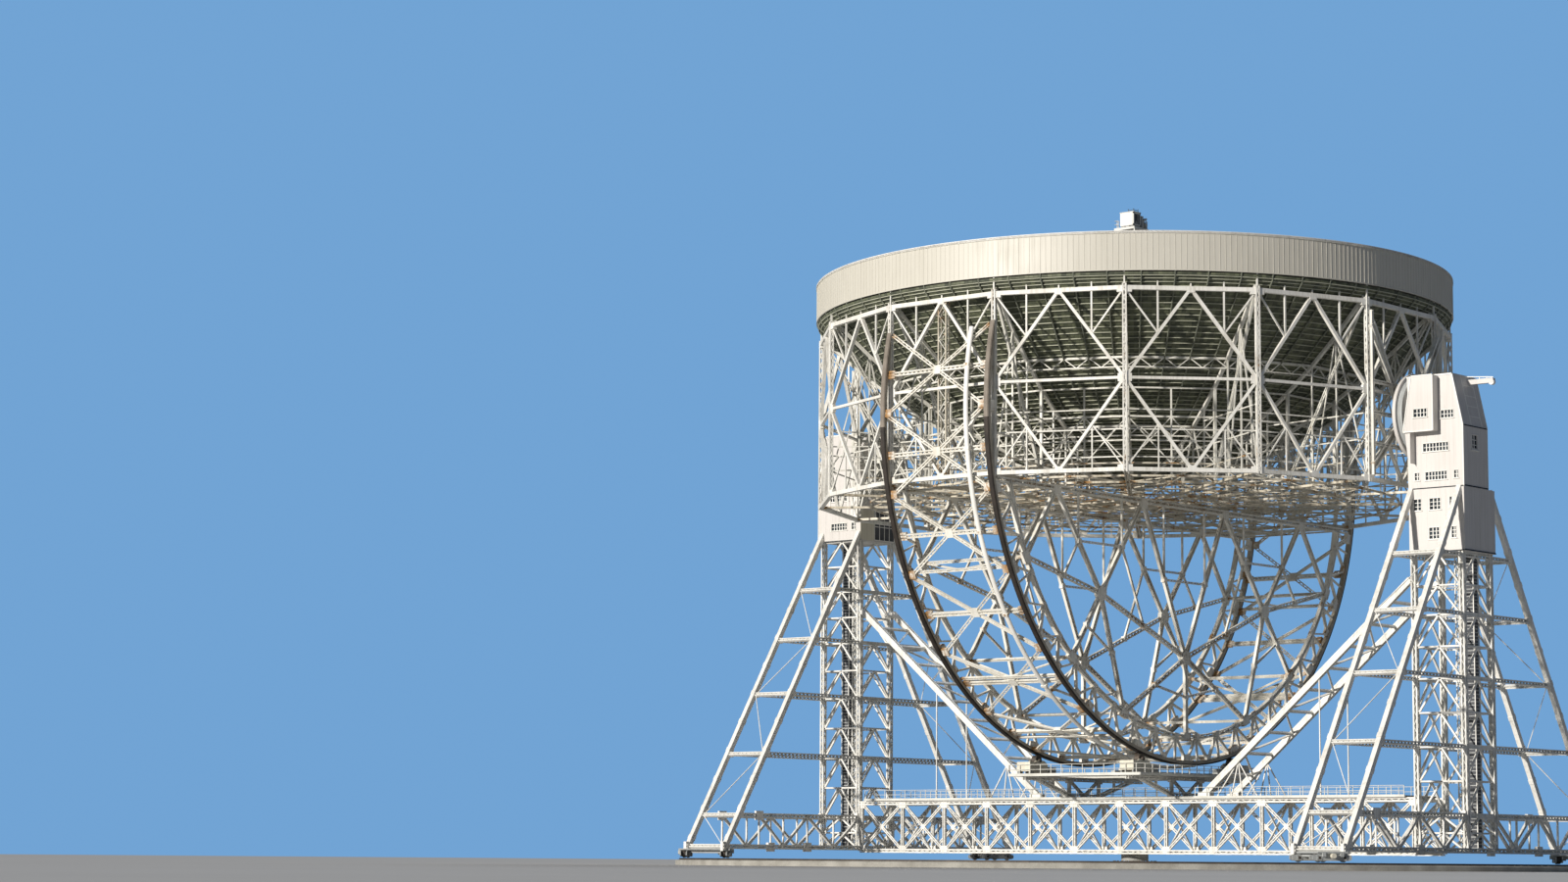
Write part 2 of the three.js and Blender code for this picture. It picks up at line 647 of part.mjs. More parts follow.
// Angles of the cross members on one side of straight down.
const crossAngles = bracing.corners.slice(1).map((corner, i) => (corner + bracing.corners[i]) / 2);

function wheelBracing() {
  const { corner, deep, corners } = bracing;
  const reach = wheelX - rimWide / 2 - seat;
  const inset = reach - 0.15;
  const outward = (phi) => [0, Math.sin(phi), -Math.cos(phi)];
  const bars = [];
  for (const s of [-1, 1]) {
    crossAngles.forEach((middle, i) => {
      const [phi, before, after] = [s * middle, s * corners[i], s * corners[i + 1]];
      const radius = corner * Math.cos((after - before) / 2);
      const way = i % 2 ? inset : -inset;
      const rest = [onWheel(tube.x, radius, phi), onWheel(tube.x, tube.low, phi)];
      bars.push(bar(onWheel(-reach, radius, phi), onWheel(reach, radius, phi), 0.4, deep, outward(phi), 0));
      bars.push(bar(onWheel(way, corner, before), onWheel(-way, corner, after), 0.3, 0.22, outward(phi), 0));
      bars.push(bar(...rest, 0.3, 0.45, [1, 0, 0], 0));
    });
  }
  piece("wheel_bracing", lattice(staggered(bars)), "white");
}

// The tube lies flat on its rest on each cross member.
function wheelTube() {
  const flat = THREE.MathUtils.degToRad(1);
  const all = [...[...crossAngles].reverse().map((phi) => -phi), ...crossAngles];
  const turns = all.flatMap((phi, i) => {
    const next = all[i + 1];
    return next === undefined ? [phi - flat, phi + flat] : [phi - flat, phi + flat, (phi + next) / 2];
  });
  const arc = (r) => [-tube.end, ...turns, tube.end].map((phi) => new THREE.Vector2(r * Math.sin(phi), -r * Math.cos(phi)));
  const inner = (tube.low + seat) / Math.cos(flat);
  const outline = new THREE.Shape([...arc(inner + tube.deep), ...arc(inner).reverse()]);
  piece("wheel_tube", onSide(outline, tube.x, tube.wide), "white");
}

// Trunnions carry the bowl on the elevation axis.
function trunnionPiece(name, side) {
  const { shaft, shaftSides, hub, from, plate, to } = trunnion;
  const x = side * (from + plate) / 2;
  const bars = [];
  for (const s of [-1, 1]) {
    for (const z of [60.5, 44.5]) {
      bars.push(bar([x, s, axisHeight], [x, s * 7.3, z], 0.6, plate - from, [1, 0, 0], 0));
    }
    bars.push(bar([x, s * 7.3, 43.5], [x, s * 7.3, 62], 0.6, plate - from, [1, 0, 0], 0));
  }
  const turning = axle(side, from, plate, hub).add(axle(side, from + 0.1, to, shaft, shaftSides));
  piece(name, turning.add(lattice(bars)), "grey");
}

// Focus

const mast = { half: 1.3, low: reflectorVertex + seat, top: 75.9, levels: 3 };

function focusTower() {
  const { half, low, top, levels } = mast;
  const at = (i) => low + 0.3 + ((top - 0.2 - low - 0.3) * i) / levels;
  const bars = [];
  const corners = [[-1, -1], [1, -1], [1, 1], [-1, 1]];
  corners.forEach(([sx, sy], c) => {
    const [nx, ny] = corners[(c + 1) % 4];
    const facing = [(sx + nx) / 2, (sy + ny) / 2, 0];
    bars.push(bar([sx * half, sy * half, low + 0.12], [sx * half, sy * half, top], 0.3, 0.3, [1, 0, 0], 0));
    for (let i = 0; i <= levels; i++) {
      bars.push(bar([sx * half, sy * half, at(i)], [nx * half, ny * half, at(i)], 0.22, 0.22, facing, 0));
      if (i === levels) continue;
      const [p, q] = (i + c) % 2 ? [[sx, sy], [nx, ny]] : [[nx, ny], [sx, sy]];
      bars.push(bar([p[0] * half, p[1] * half, at(i)], [q[0] * half, q[1] * half, at(i + 1)], 0.18, 0.18, facing, 0));
    }
  });
  const slope = curve(0, reflectorRise, dishRadii[1]) / dishRadii[1];
  const foot = low + slope * 2.4;
  const base = drum(2.4, foot, foot + 0.3, 16);
  const stem = block([-1.45, -1.45, foot + 0.1], [1.45, 1.45, foot + 0.4]);
  const clear = block([-3, -3, 40], [3, 3, foot]);
  piece("focus_tower", lattice(bars).add(base).add(stem).subtract(clear), "white");
}

function focusHead() {
  const deck = block([-2.3, -2.3, mast.top + seat], [2.3, 2.3, mast.top + 0.3]);
  piece("focus_platform", deck, "grey");
  piece("focus_box", block([-1.2, -1.2, mast.top + 0.3 + seat], [1.2, 1.2, 79.1]), "cabin");
}

const sides = [[-1, "left"], [1, "right"]];

startAssembly("ground_works");
railTrack();
pivotBlock();

startAssembly("turntable");
diametralGirder("girder_front", -columnY);
diametralGirder("girder_back", columnY);
girderDeck();
girderCrossFrames();
for (const [side, word] of sides) {
  bogie(word + "_front_bogie", side, -1);
  bogie(word + "_back_bogie", side, 1);
  const columnTop = (side > 0 ? lowerCabinLow : leftCabinLow) - seat;
  const inner = sideFrameBars(side * innerFrameX, columnTop);
  const outer = sideFrameBars(side * outerFrameX, columnTop);
  piece(word + "_tower_inner_side", lattice(inner), "white");
  piece(word + "_tower_outer_side", lattice(outer), "white");
  piece(word + "_tower_front_bracing", lattice(staggered(legBracingBars(side, -1))), "white");
  piece(word + "_tower_back_bracing", lattice(staggered(legBracingBars(side, 1))), "white");
  const clear = lattice([...inner, ...outer], seat / 2).add(axle(side, 38, 41, trunnion.shaft + 0.2));
  if (side > 0) {
    cabin("right_lower_cabin", side, lowerCabinLow, cabinSeam - seat, false, clear);
    cabin("right_cabin", side, cabinSeam, cabinTop, true, clear, upperBack);
  } else {
    cabin("left_cabin", side, leftCabinLow, cabinTop, true, clear);
  }
  drumCover(word + "_drum_cover", side);
  rakingStruts(word + "_raking_struts", side);
  cradle(word + "_cradle", side);
  rollerCarriages(word + "_roller_carriages", side);
}
rollerPlatform();

startAssembly("bowl");
for (const [side, word] of sides) {
  wheel(word + "_wheel", side);
  trunnionPiece(word + "_trunnion", side);
}
wheelBracing();
wheelTube();
const quarters = ["back_right", "back_left", "front_left", "front_right"];
quarters.forEach((word, i) => {
  wallQuarter("wall_" + word, (i * bays) / 4);
  trussQuarter("trusses_" + word, (i * bays) / 4);
});
floorLattice();
centreColumn();
piece("membrane", membrane, "green");
piece("reflector", dish(reflectorVertex, reflectorRise, 0.2), "reflector");
rimBand();
vertexHub();
focusTower();
focusHead();

telescope.scale.setScalar(modelScale);

export default telescope;
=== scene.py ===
import math

import bpy
import numpy as np
from mathutils import Matrix, Vector


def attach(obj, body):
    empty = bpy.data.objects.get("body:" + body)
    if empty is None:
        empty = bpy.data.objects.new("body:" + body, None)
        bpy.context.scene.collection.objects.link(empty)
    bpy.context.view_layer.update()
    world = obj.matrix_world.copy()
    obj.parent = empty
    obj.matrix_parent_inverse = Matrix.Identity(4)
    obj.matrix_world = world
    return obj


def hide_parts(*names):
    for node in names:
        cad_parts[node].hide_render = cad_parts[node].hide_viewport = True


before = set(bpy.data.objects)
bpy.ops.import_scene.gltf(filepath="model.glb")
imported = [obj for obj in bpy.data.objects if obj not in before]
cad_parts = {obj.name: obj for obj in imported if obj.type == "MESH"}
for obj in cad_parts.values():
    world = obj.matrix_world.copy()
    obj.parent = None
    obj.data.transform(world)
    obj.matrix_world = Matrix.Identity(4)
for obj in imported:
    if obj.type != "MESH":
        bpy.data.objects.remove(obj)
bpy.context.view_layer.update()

tenth = 0.1  # the model is a tenth of the real telescope; every length below is a real one, in metres
turn = 2 * math.pi
axisHeight = 50.5
up = np.array([0.0, 0.0, 1.0])
alongX, alongY = (1, 0, 0), (0, 1, 0)
both = (-1, 1)
corners = ((-1, -1), (1, -1), (1, 1), (-1, 1))
sides = ((-1, "left_"), (1, "right_"))
quarters = ("back_right", "back_left", "front_left", "front_right")
farFromEnds = 9  # what a skin has where a bar has its distance to its ends
white = "white_paint"


# Points, directions and names

def unit(vector):
    vector = np.asarray(vector, float)
    return vector / np.linalg.norm(vector, axis=-1, keepdims=True)


def point(*values):
    return np.array(values, float)


def between(start, end, share):
    return np.asarray(start, float) * (1 - share) + np.asarray(end, float) * share


def polar(radius, angle, height=0):
    return point(radius * math.cos(angle), radius * math.sin(angle), height)


def tangent(angle):
    return point(-math.sin(angle), math.cos(angle), 0)


def away(angle):  # from the elevation axis; angles on the wheels run from straight down
    return point(0, math.sin(angle), -math.cos(angle))


def onWheel(x, radius, angle):
    return point(x, 0, axisHeight) + radius * away(angle)


def around(count):
    return [i * turn / count for i in range(count)]


def pairs(items):
    return list(zip(items, items[1:]))


def pick(values, keys):
    return [values[key] for key in keys.split()]


def camel(name):
    first, *rest = name.split("_")
    return first + "".join(word.title() for word in rest)


def placed(name, data):
    thing = bpy.data.objects.new(name, data)
    bpy.context.scene.collection.objects.link(thing)
    return thing


# Node trees, written as sums of values

class Value:
    def __init__(self, graph, socket):
        self.graph, self.socket = graph, socket

    def maths(self, operation, *others):
        return self.graph.add("ShaderNodeMath", dict(enumerate((self, *others))), operation=operation)

    def between(self, low, high):  # a smooth step from 0 at low to 1 at high
        inputs = {"Value": self, "From Min": low, "From Max": high}
        return self.graph.add("ShaderNodeMapRange", inputs, interpolation_type="SMOOTHSTEP")

    def other(self, name):
        return Value(self.graph, self.socket.node.outputs[name])

    __add__ = __radd__ = lambda self, other: self.maths("ADD", other)
    __mul__ = __rmul__ = lambda self, other: self.maths("MULTIPLY", other)
    __sub__ = lambda self, other: self.maths("SUBTRACT", other)
    __rsub__ = lambda self, other: self * -1 + other
    __truediv__ = lambda self, other: self.maths("DIVIDE", other)


class Graph:
    def __init__(self, tree):
        self.tree = tree

    def add(self, kind, inputs=None, output=0, **settings):
        node = self.tree.nodes.new(kind)
        for key, setting in settings.items():
            setattr(node, key, setting)
        for key, given in (inputs or {}).items():
            socket = node.inputs[key]
            for value in given if isinstance(given, list) else [given]:
                if isinstance(value, Value):
                    self.tree.links.new(value.socket, socket)
                else:
                    socket.default_value = (*value, 1) if socket.type == "RGBA" else value
        return Value(self, node.outputs[output]) if len(node.outputs) else node

    def noise(self, place, scale, detail=3):
        return self.add("ShaderNodeTexNoise", {"Vector": place, "Scale": scale, "Detail": detail})

    def streaks(self, place, scale, detail):
        return self.noise(self.add("ShaderNodeMapping", {"Vector": place, "Scale": scale}), 1, detail)

    def mix(self, share, first, second):
        return self.add("ShaderNodeMix", {0: share, 6: first, 7: second}, 2, data_type="RGBA")

    def tone(self, cell):
        return self.add("ShaderNodeTexWhiteNoise", {"W": cell}, noise_dimensions="1D")

    def axes(self, place):
        return self.add("ShaderNodeSeparateXYZ", {0: place})


# Paints

paints = {}


def startPaint(name):
    material = bpy.data.materials.new(name)
    material.use_nodes = True
    material.node_tree.nodes.clear()
    paints[name] = material
    graph = Graph(material.node_tree)
    return graph, graph.add("ShaderNodeTexCoord", output=3)


def endPaint(graph, colour, roughness, height, bump, metallic=0.0):
    normal = graph.add("ShaderNodeBump", {"Strength": bump, "Distance": 0.004, "Height": height})
    inputs = {"Base Color": colour, "Roughness": roughness, "Metallic": metallic, "Normal": normal}
    graph.add("ShaderNodeOutputMaterial", {"Surface": graph.add("ShaderNodeBsdfPrincipled", inputs)})


steelPaints = {  # clean, weathered, how much rust, how far it reaches from a bar's ends, and from which x
    "towerPaint": ((0.86, 0.85, 0.81), (0.60, 0.59, 0.54), 0.06, 0.5),
    "wallPaint": ((0.86, 0.85, 0.80), (0.60, 0.58, 0.52), 0.12, 0.6),
    "wheelPaint": ((0.88, 0.86, 0.79), (0.62, 0.59, 0.51), 0.32, 1.1),
    "bracingPaint": ((0.86, 0.84, 0.77), (0.60, 0.57, 0.48), 0.75, 1.6, (0.52, 0.70)),
    "floorPaint": ((0.66, 0.61, 0.50), (0.36, 0.31, 0.22), 0.66, 1.6),
    "trussPaint": ((0.78, 0.77, 0.71), (0.50, 0.49, 0.43), 0.20, 0.6),
}
rustColours = ((0.0, (0.14, 0.065, 0.02, 1)), (0.55, (0.36, 0.19, 0.06, 1)), (1.0, (0.55, 0.33, 0.12, 1)))


def steelPaint(name, clean, worn, rust, reach, outer=None):
    graph, place = startPaint(name)
    patches, fine = graph.noise(place, 3.5, 4), graph.noise(place, 42)
    streaks = graph.streaks(place, (34, 34, 3), 3)
    ends = graph.axes(graph.add("ShaderNodeUVMap", uv_map="span"))
    fromEnd = ends.maths("MINIMUM", ends.other("Y"))
    atEnd = 1 - (fromEnd / reach).maths("MINIMUM", 1)
    weather = (patches * 0.6 + streaks * 0.5).between(0.44, 0.78)
    rusty = patches * 0.55 + fine * 0.3 + streaks * 0.25 + atEnd * 0.22
    rusty = rusty.between(0.86 - rust * 0.34, 0.98 - rust * 0.28)
    if outer:
        rusty = rusty * graph.axes(place).maths("ABSOLUTE").between(*outer)
    rustTone = graph.add("ShaderNodeValToRGB", {0: fine})
    ramp = rustTone.socket.node.color_ramp
    ramp.elements.new(0.5)
    for element, (share, colour) in zip(ramp.elements, rustColours):
        element.position, element.color = share, colour
    colour = graph.mix(rusty, graph.mix(weather, clean, worn), rustTone)
    endPaint(graph, colour, 0.42 + weather * 0.2 + rusty * 0.25, fine + rusty * 0.6, 0.25)


sheetPaints = {  # clean, weathered, roughness, how many sheets on the way round
    "bandPaint": ((0.62, 0.60, 0.53), (0.54, 0.52, 0.45), 0.45, 384),
    "edgePaint": ((0.88, 0.87, 0.83), (0.72, 0.71, 0.66), 0.45, 64),
    "cabinPaint": ((0.67, 0.645, 0.62), (0.57, 0.545, 0.515), 0.45, 96),
    "greyPaint": ((0.36, 0.36, 0.34), (0.22, 0.22, 0.20), 0.6, 40),
    "creamPaint": ((0.74, 0.71, 0.60), (0.56, 0.52, 0.42), 0.5, 40),
    "machineGrey": ((0.42, 0.44, 0.44), (0.26, 0.27, 0.26), 0.5, 30),
}


def sheetPaint(name, clean, worn, roughness, seams):
    # painted sheets: soft patches, streaks that run down, and a faint change from sheet to sheet
    graph, place = startPaint(name)
    axes = graph.axes(place)
    angle = axes.other("Y").maths("ARCTAN2", axes)
    tone = graph.tone((angle * (seams / turn)).maths("FLOOR"))
    patches, fine = graph.noise(place, 1.6, 4), graph.noise(place, 60, 2)
    streaks = graph.streaks(place, (30, 30, 1.4), 4)
    weather = (patches * 0.5 + streaks * 0.5 + tone * 0.04).between(0.42, 0.80)
    colour = graph.mix(weather, clean, worn)
    endPaint(graph, colour, roughness + weather * 0.15, fine * 0.4 + streaks, 0.12)


dishPaints = {  # clean, weathered, radial seams, pitch of round ones, edge, roughness, metallic, change
    "membraneGreen": ((0.150, 0.165, 0.100), (0.045, 0.054, 0.038), 448, 0.064, 0.40, 0.6, 0.0, 0.5),
    "reflectorGrey": ((0.60, 0.61, 0.59), (0.48, 0.49, 0.47), 96, 0.16, 0.475, 0.45, 0.2, 0.1),
}


def dishPaint(name, clean, worn, seams, pitch, edge, roughness, metallic, change):
    # panels between radial and round seams, which change in tone from one to the next
    graph, place = startPaint(name)
    axes = graph.axes(place)
    y = axes.other("Y")
    radial = y.maths("ARCTAN2", axes) * (seams / turn)
    ring = (axes * axes + y * y).maths("SQRT") / pitch
    lines = [(way.maths("FRACT") - 0.5).maths("ABSOLUTE").between(edge, 0.5) for way in (radial, ring)]
    seam = lines[0].maths("MAXIMUM", lines[1])
    tone = graph.tone(radial.maths("FLOOR") + ring.maths("FLOOR") * 37)
    patches, fine = graph.noise(place, 1.3, 4), graph.noise(place, 30)
    weather = (patches * 0.7 + fine * 0.2 + tone * change).between(0.35, 0.55 + change)
    dark = tuple(channel * 0.5 for channel in worn)
    colour = graph.mix(seam * 0.5, graph.mix(weather, clean, worn), dark)
    endPaint(graph, colour, roughness + weather * 0.15, fine * 0.3 - seam, 0.3, metallic)


roughPaints = {  # first, second, scale of the patches, roughness, metallic, bump
    "concrete": ((0.42, 0.41, 0.37), (0.27, 0.26, 0.23), 5, 0.8),
    "railSteel": ((0.060, 0.054, 0.048), (0.125, 0.100, 0.078), 9, 0.5, 0.4),
    "treadSteel": ((0.018, 0.016, 0.014), (0.050, 0.039, 0.031), 9, 0.5, 0.3),
    "rimSide": ((0.50, 0.46, 0.38), (0.33, 0.29, 0.235), 6, 0.6),
    "rimPaint": ((0.27, 0.235, 0.195), (0.16, 0.135, 0.110), 6, 0.6),
    # dark grey-green for the membrane ribs: painted shade for the shadow they sit in
    "ribPaint": ((0.20, 0.215, 0.165), (0.11, 0.12, 0.095), 4, 0.6),
    # near-black with a blue cast: painted shade, used inside the lift shafts, at the back of the cabins'
    # inner recess and of the focus house's recess
    "slatPaint": ((0.045, 0.050, 0.060), (0.080, 0.085, 0.095), 7, 0.6),
    "grating": ((0.24, 0.24, 0.22), (0.14, 0.13, 0.12), 8, 0.65, 0.3),
    "lightPaint": ((0.76, 0.76, 0.72), (0.55, 0.55, 0.50), 4, 0.5),
    "purlinPaint": ((0.54, 0.55, 0.44), (0.33, 0.34, 0.26), 4, 0.55),
    "floorMatt": ((0.50, 0.49, 0.47), (0.47, 0.46, 0.44), 0.2, 0.85, 0.0, 0.05),
}


def roughPaint(name, first, second, scale, roughness, metallic=0.0, bump=0.3):
    graph, place = startPaint(name)
    patches, fine = graph.noise(place, scale, 5), graph.noise(place, scale * 14)
    colour = graph.mix((patches * 0.7 + fine * 0.3).between(0.3, 0.7), first, second)
    endPaint(graph, colour, roughness + fine * 0.15, fine + patches, bump, metallic)


glassPaints = {  # first, second, roughness
    "darkGlass": ((0.018, 0.024, 0.030), (0.045, 0.058, 0.068), 0.08),
}


def glassPaint(name, first, second, roughness):
    graph, place = startPaint(name)
    patches = graph.noise(place, 6, 2)
    colour = graph.mix(patches.between(0.35, 0.65), first, second)
    endPaint(graph, colour, roughness + patches * 0.1, patches, 0.02)


for makePaint, rows in ((steelPaint, steelPaints), (sheetPaint, sheetPaints), (dishPaint, dishPaints),
                        (roughPaint, roughPaints), (glassPaint, glassPaints)):
    for name, values in rows.items():
        makePaint(name, *values)
print("paints made:", len(paints))


# Trees that grow what repeats from a wire of points and edges

def startTree(name, *sizes):
    tree = bpy.data.node_groups.new(name, "GeometryNodeTree")
    tree.interface.new_socket("Wire", in_out="INPUT", socket_type="NodeSocketGeometry")
    for size in sizes:
        tree.interface.new_socket(size, in_out="INPUT", socket_type="NodeSocketFloat")
    tree.interface.new_socket("Paint", in_out="INPUT", socket_type="NodeSocketMaterial")
    tree.interface.new_socket("Shape", in_out="OUTPUT", socket_type="NodeSocketGeometry")
    graph = Graph(tree)
    given = tree.nodes.new("NodeGroupInput")
    return graph, {socket.name: Value(graph, socket) for socket in given.outputs if socket.name}


def endTree(graph, given, shape):
    whole = graph.add("GeometryNodeRealizeInstances", {0: shape})
    painted = graph.add("GeometryNodeSetMaterial", {0: whole, "Material": given["Paint"]})
    graph.add("NodeGroupOutput", {0: painted})
    return graph.tree


def attribute(graph, name, kind="FLOAT"):
    return graph.add("GeometryNodeInputNamedAttribute", {"Name": name}, data_type=kind)


def pathOf(graph, given):
    return graph.add("GeometryNodeMeshToCurve", {0: given["Wire"]})


def resampled(graph, path, pitch):
    return graph.add("GeometryNodeResampleCurve", {"Curve": path, "Length": pitch}, mode="LENGTH")


def swept(graph, path, thick, profile=None):
    square = {"Width": 1.0, "Height": 1.0}
    profile = profile or graph.add("GeometryNodeCurvePrimitiveQuadrilateral", square)
    inputs = {"Curve": path, "Profile Curve": profile, "Scale": thick, "Fill Caps": True}
    return graph.add("GeometryNodeCurveToMesh", inputs)


def lacingTree():
    # each edge becomes a zigzag between the two flats of a laced bar
    graph, given = startTree("lacing")
    points = resampled(graph, pathOf(graph, given), attribute(graph, "pitch"))
    sign = 1 - 2 * graph.add("GeometryNodeSplineParameter", output=2).maths("MODULO", 2)
    swing = {0: attribute(graph, "swing", "FLOAT_VECTOR"), "Scale": sign}
    offset = graph.add("ShaderNodeVectorMath", swing, operation="SCALE")
    zigzag = graph.add("GeometryNodeSetPosition", {"Geometry": points, "Offset": offset})
    return endTree(graph, given, swept(graph, zigzag, attribute(graph, "thick")))


def rodTree():
    # each path becomes a square rod
    graph, given = startTree("rods")
    level = graph.add("GeometryNodeSetCurveNormal", {"Curve": pathOf(graph, given)}, mode="Z_UP")
    return endTree(graph, given, swept(graph, level, attribute(graph, "thick")))


def railingTree():
    # two rails over a path, with posts
    graph, given = startTree("railing", "Height", "Pitch", "Thick")
    height, thick = given["Height"], given["Thick"]
    path = pathOf(graph, given)
    profile = graph.add("GeometryNodeCurvePrimitiveCircle", {"Resolution": 6, "Radius": 0.5})
    parts = []
    for share in (0.5, 1.0):
        lift = graph.add("ShaderNodeCombineXYZ", {"Z": height * share})
        rail = graph.add("GeometryNodeSetPosition", {"Geometry": path, "Offset": lift})
        parts.append(swept(graph, rail, thick, profile))
    size = graph.add("ShaderNodeCombineXYZ", {"X": thick, "Y": thick, "Z": height})
    post = graph.add("GeometryNodeMeshCube", {"Size": size})
    lift = graph.add("ShaderNodeCombineXYZ", {"Z": height * 0.5})
    stood = graph.add("GeometryNodeTransform", {"Geometry": post, "Translation": lift})
    points = resampled(graph, path, given["Pitch"])
    parts.append(graph.add("GeometryNodeInstanceOnPoints", {"Points": points, "Instance": stood}))
    return endTree(graph, given, graph.add("GeometryNodeJoinGeometry", {0: parts}))


def scatterTree(name, kind, shape):
    # a block or a bolt head at each point: its size along its heading, across it, and outward
    graph, given = startTree(name)
    axes = {n: attribute(graph, key, "FLOAT_VECTOR") for n, key in enumerate(("outward", "heading"))}
    inputs = {
        "Points": given["Wire"], "Instance": graph.add(kind, shape),
        "Scale": attribute(graph, "size", "FLOAT_VECTOR"),
        "Rotation": graph.add("FunctionNodeAxesToRotation", axes, primary_axis="Z", secondary_axis="X"),
    }
    return endTree(graph, given, graph.add("GeometryNodeInstanceOnPoints", inputs))


trees = {
    "lacing": lacingTree(), "rods": rodTree(), "railing": railingTree(),
    "blocks": scatterTree("blocks", "GeometryNodeMeshCube", {"Size": (1.0, 1.0, 1.0)}),
    "bolts": scatterTree("bolts", "GeometryNodeMeshCylinder", {"Vertices": 6, "Radius": 0.5, "Depth": 1.0}),
}


def settle(piece, body, replaced=()):
    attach(piece, body)
    if replaced:
        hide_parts(*replaced)


def grow(name, kind, points, edges, attributes, paint, body, slot, **sizes):
    # runs one tree on a wire, and keeps the plain mesh that it makes
    name, tree = camel(name), trees[kind]
    wire = bpy.data.meshes.new(name + "Wire")
    wire.from_pydata(np.asarray(points, float) * tenth, edges, [])
    for key, values in attributes.items():
        values = np.asarray(values, float) * (1 if key in ("heading", "outward") else tenth)
        layer, field = ("FLOAT_VECTOR", "vector") if values.ndim == 2 else ("FLOAT", "value")
        wire.attributes.new(key, layer, "POINT").data.foreach_set(field, values.astype(np.float32).ravel())
    maker = placed(name + "Maker", wire)
    modifier = maker.modifiers.new("grown", "NODES")
    modifier.node_group = tree
    given = {"Paint": paints[paint], **{size.title(): length * tenth for size, length in sizes.items()}}
    for item in tree.interface.items_tree:
        if item.name in given:
            modifier[item.identifier] = given[item.name]
    evaluated = maker.evaluated_get(bpy.context.evaluated_depsgraph_get())
    mesh = bpy.data.meshes.new_from_object(evaluated)
    maker.modifiers.remove(modifier)
    bpy.data.objects.remove(maker)
    mesh.name = name
    settle(placed(name, mesh), body)


# Steelwork: the bars, plates and skins of one piece

barFaces = np.array([(0, 1, 2, 3), (7, 6, 5, 4), (1, 0, 4, 5), (2, 1, 5, 6), (3, 2, 6, 7), (0, 3, 7, 4)])


def barMesh(rows):
    rows = np.array(rows, float)
    start, end, facing = rows[:, 0:3], rows[:, 3:6], rows[:, 6:9]
    along = end - start
    side = unit(np.cross(along, facing)) * rows[:, 9:10] / 2
    out = unit(np.cross(side, along)) * rows[:, 10:11] / 2
    points = np.stack([base + i * side + j * out for base in (start, end) for i, j in corners], axis=1)
    faces = (barFaces[None] + np.arange(len(rows))[:, None, None] * 8).reshape(-1, 4)
    atStart = (barFaces.ravel() < 4)[None, :]
    length = np.linalg.norm(along, axis=1)[:, None]
    span = np.stack([np.where(atStart, 0, length), np.where(atStart, length, 0)], axis=-1)
    return points.reshape(-1, 3), faces.tolist(), span.reshape(-1, 2), np.repeat(rows[:, 11].astype(int), 6)


def skinMesh(sections, ring, paint):
    count, wide = sections.shape[:2]
    i = np.arange(count if ring else count - 1)[:, None]
    j = np.arange(wide)[None, :]
    here, there, after = i * wide, ((i + 1) % count) * wide, (j + 1) % wide
    quads = np.stack([here + j, here + after, there + after, there + j], axis=-1).reshape(-1, 4)
    points = sections.reshape(-1, 3)
    a, b, c, d = (points[quads[:, n]] for n in range(4))
    volume = np.einsum("ij,ij->", a, np.cross(b, c)) + np.einsum("ij,ij->", a, np.cross(c, d))
    faces = quads.tolist()
    if not ring:
        for cap in (list(range(wide))[::-1], list(range((count - 1) * wide, count * wide))):
            for n in range(1, wide - 1):
                volume += points[cap[0]] @ np.cross(points[cap[n]], points[cap[n + 1]])
            faces.append(cap)
    if volume < 0:
        faces = [face[::-1] for face in faces]
    span = np.full((sum(map(len, faces)), 2), farFromEnds, float)
    return points, faces, span, np.full(len(faces), paint)


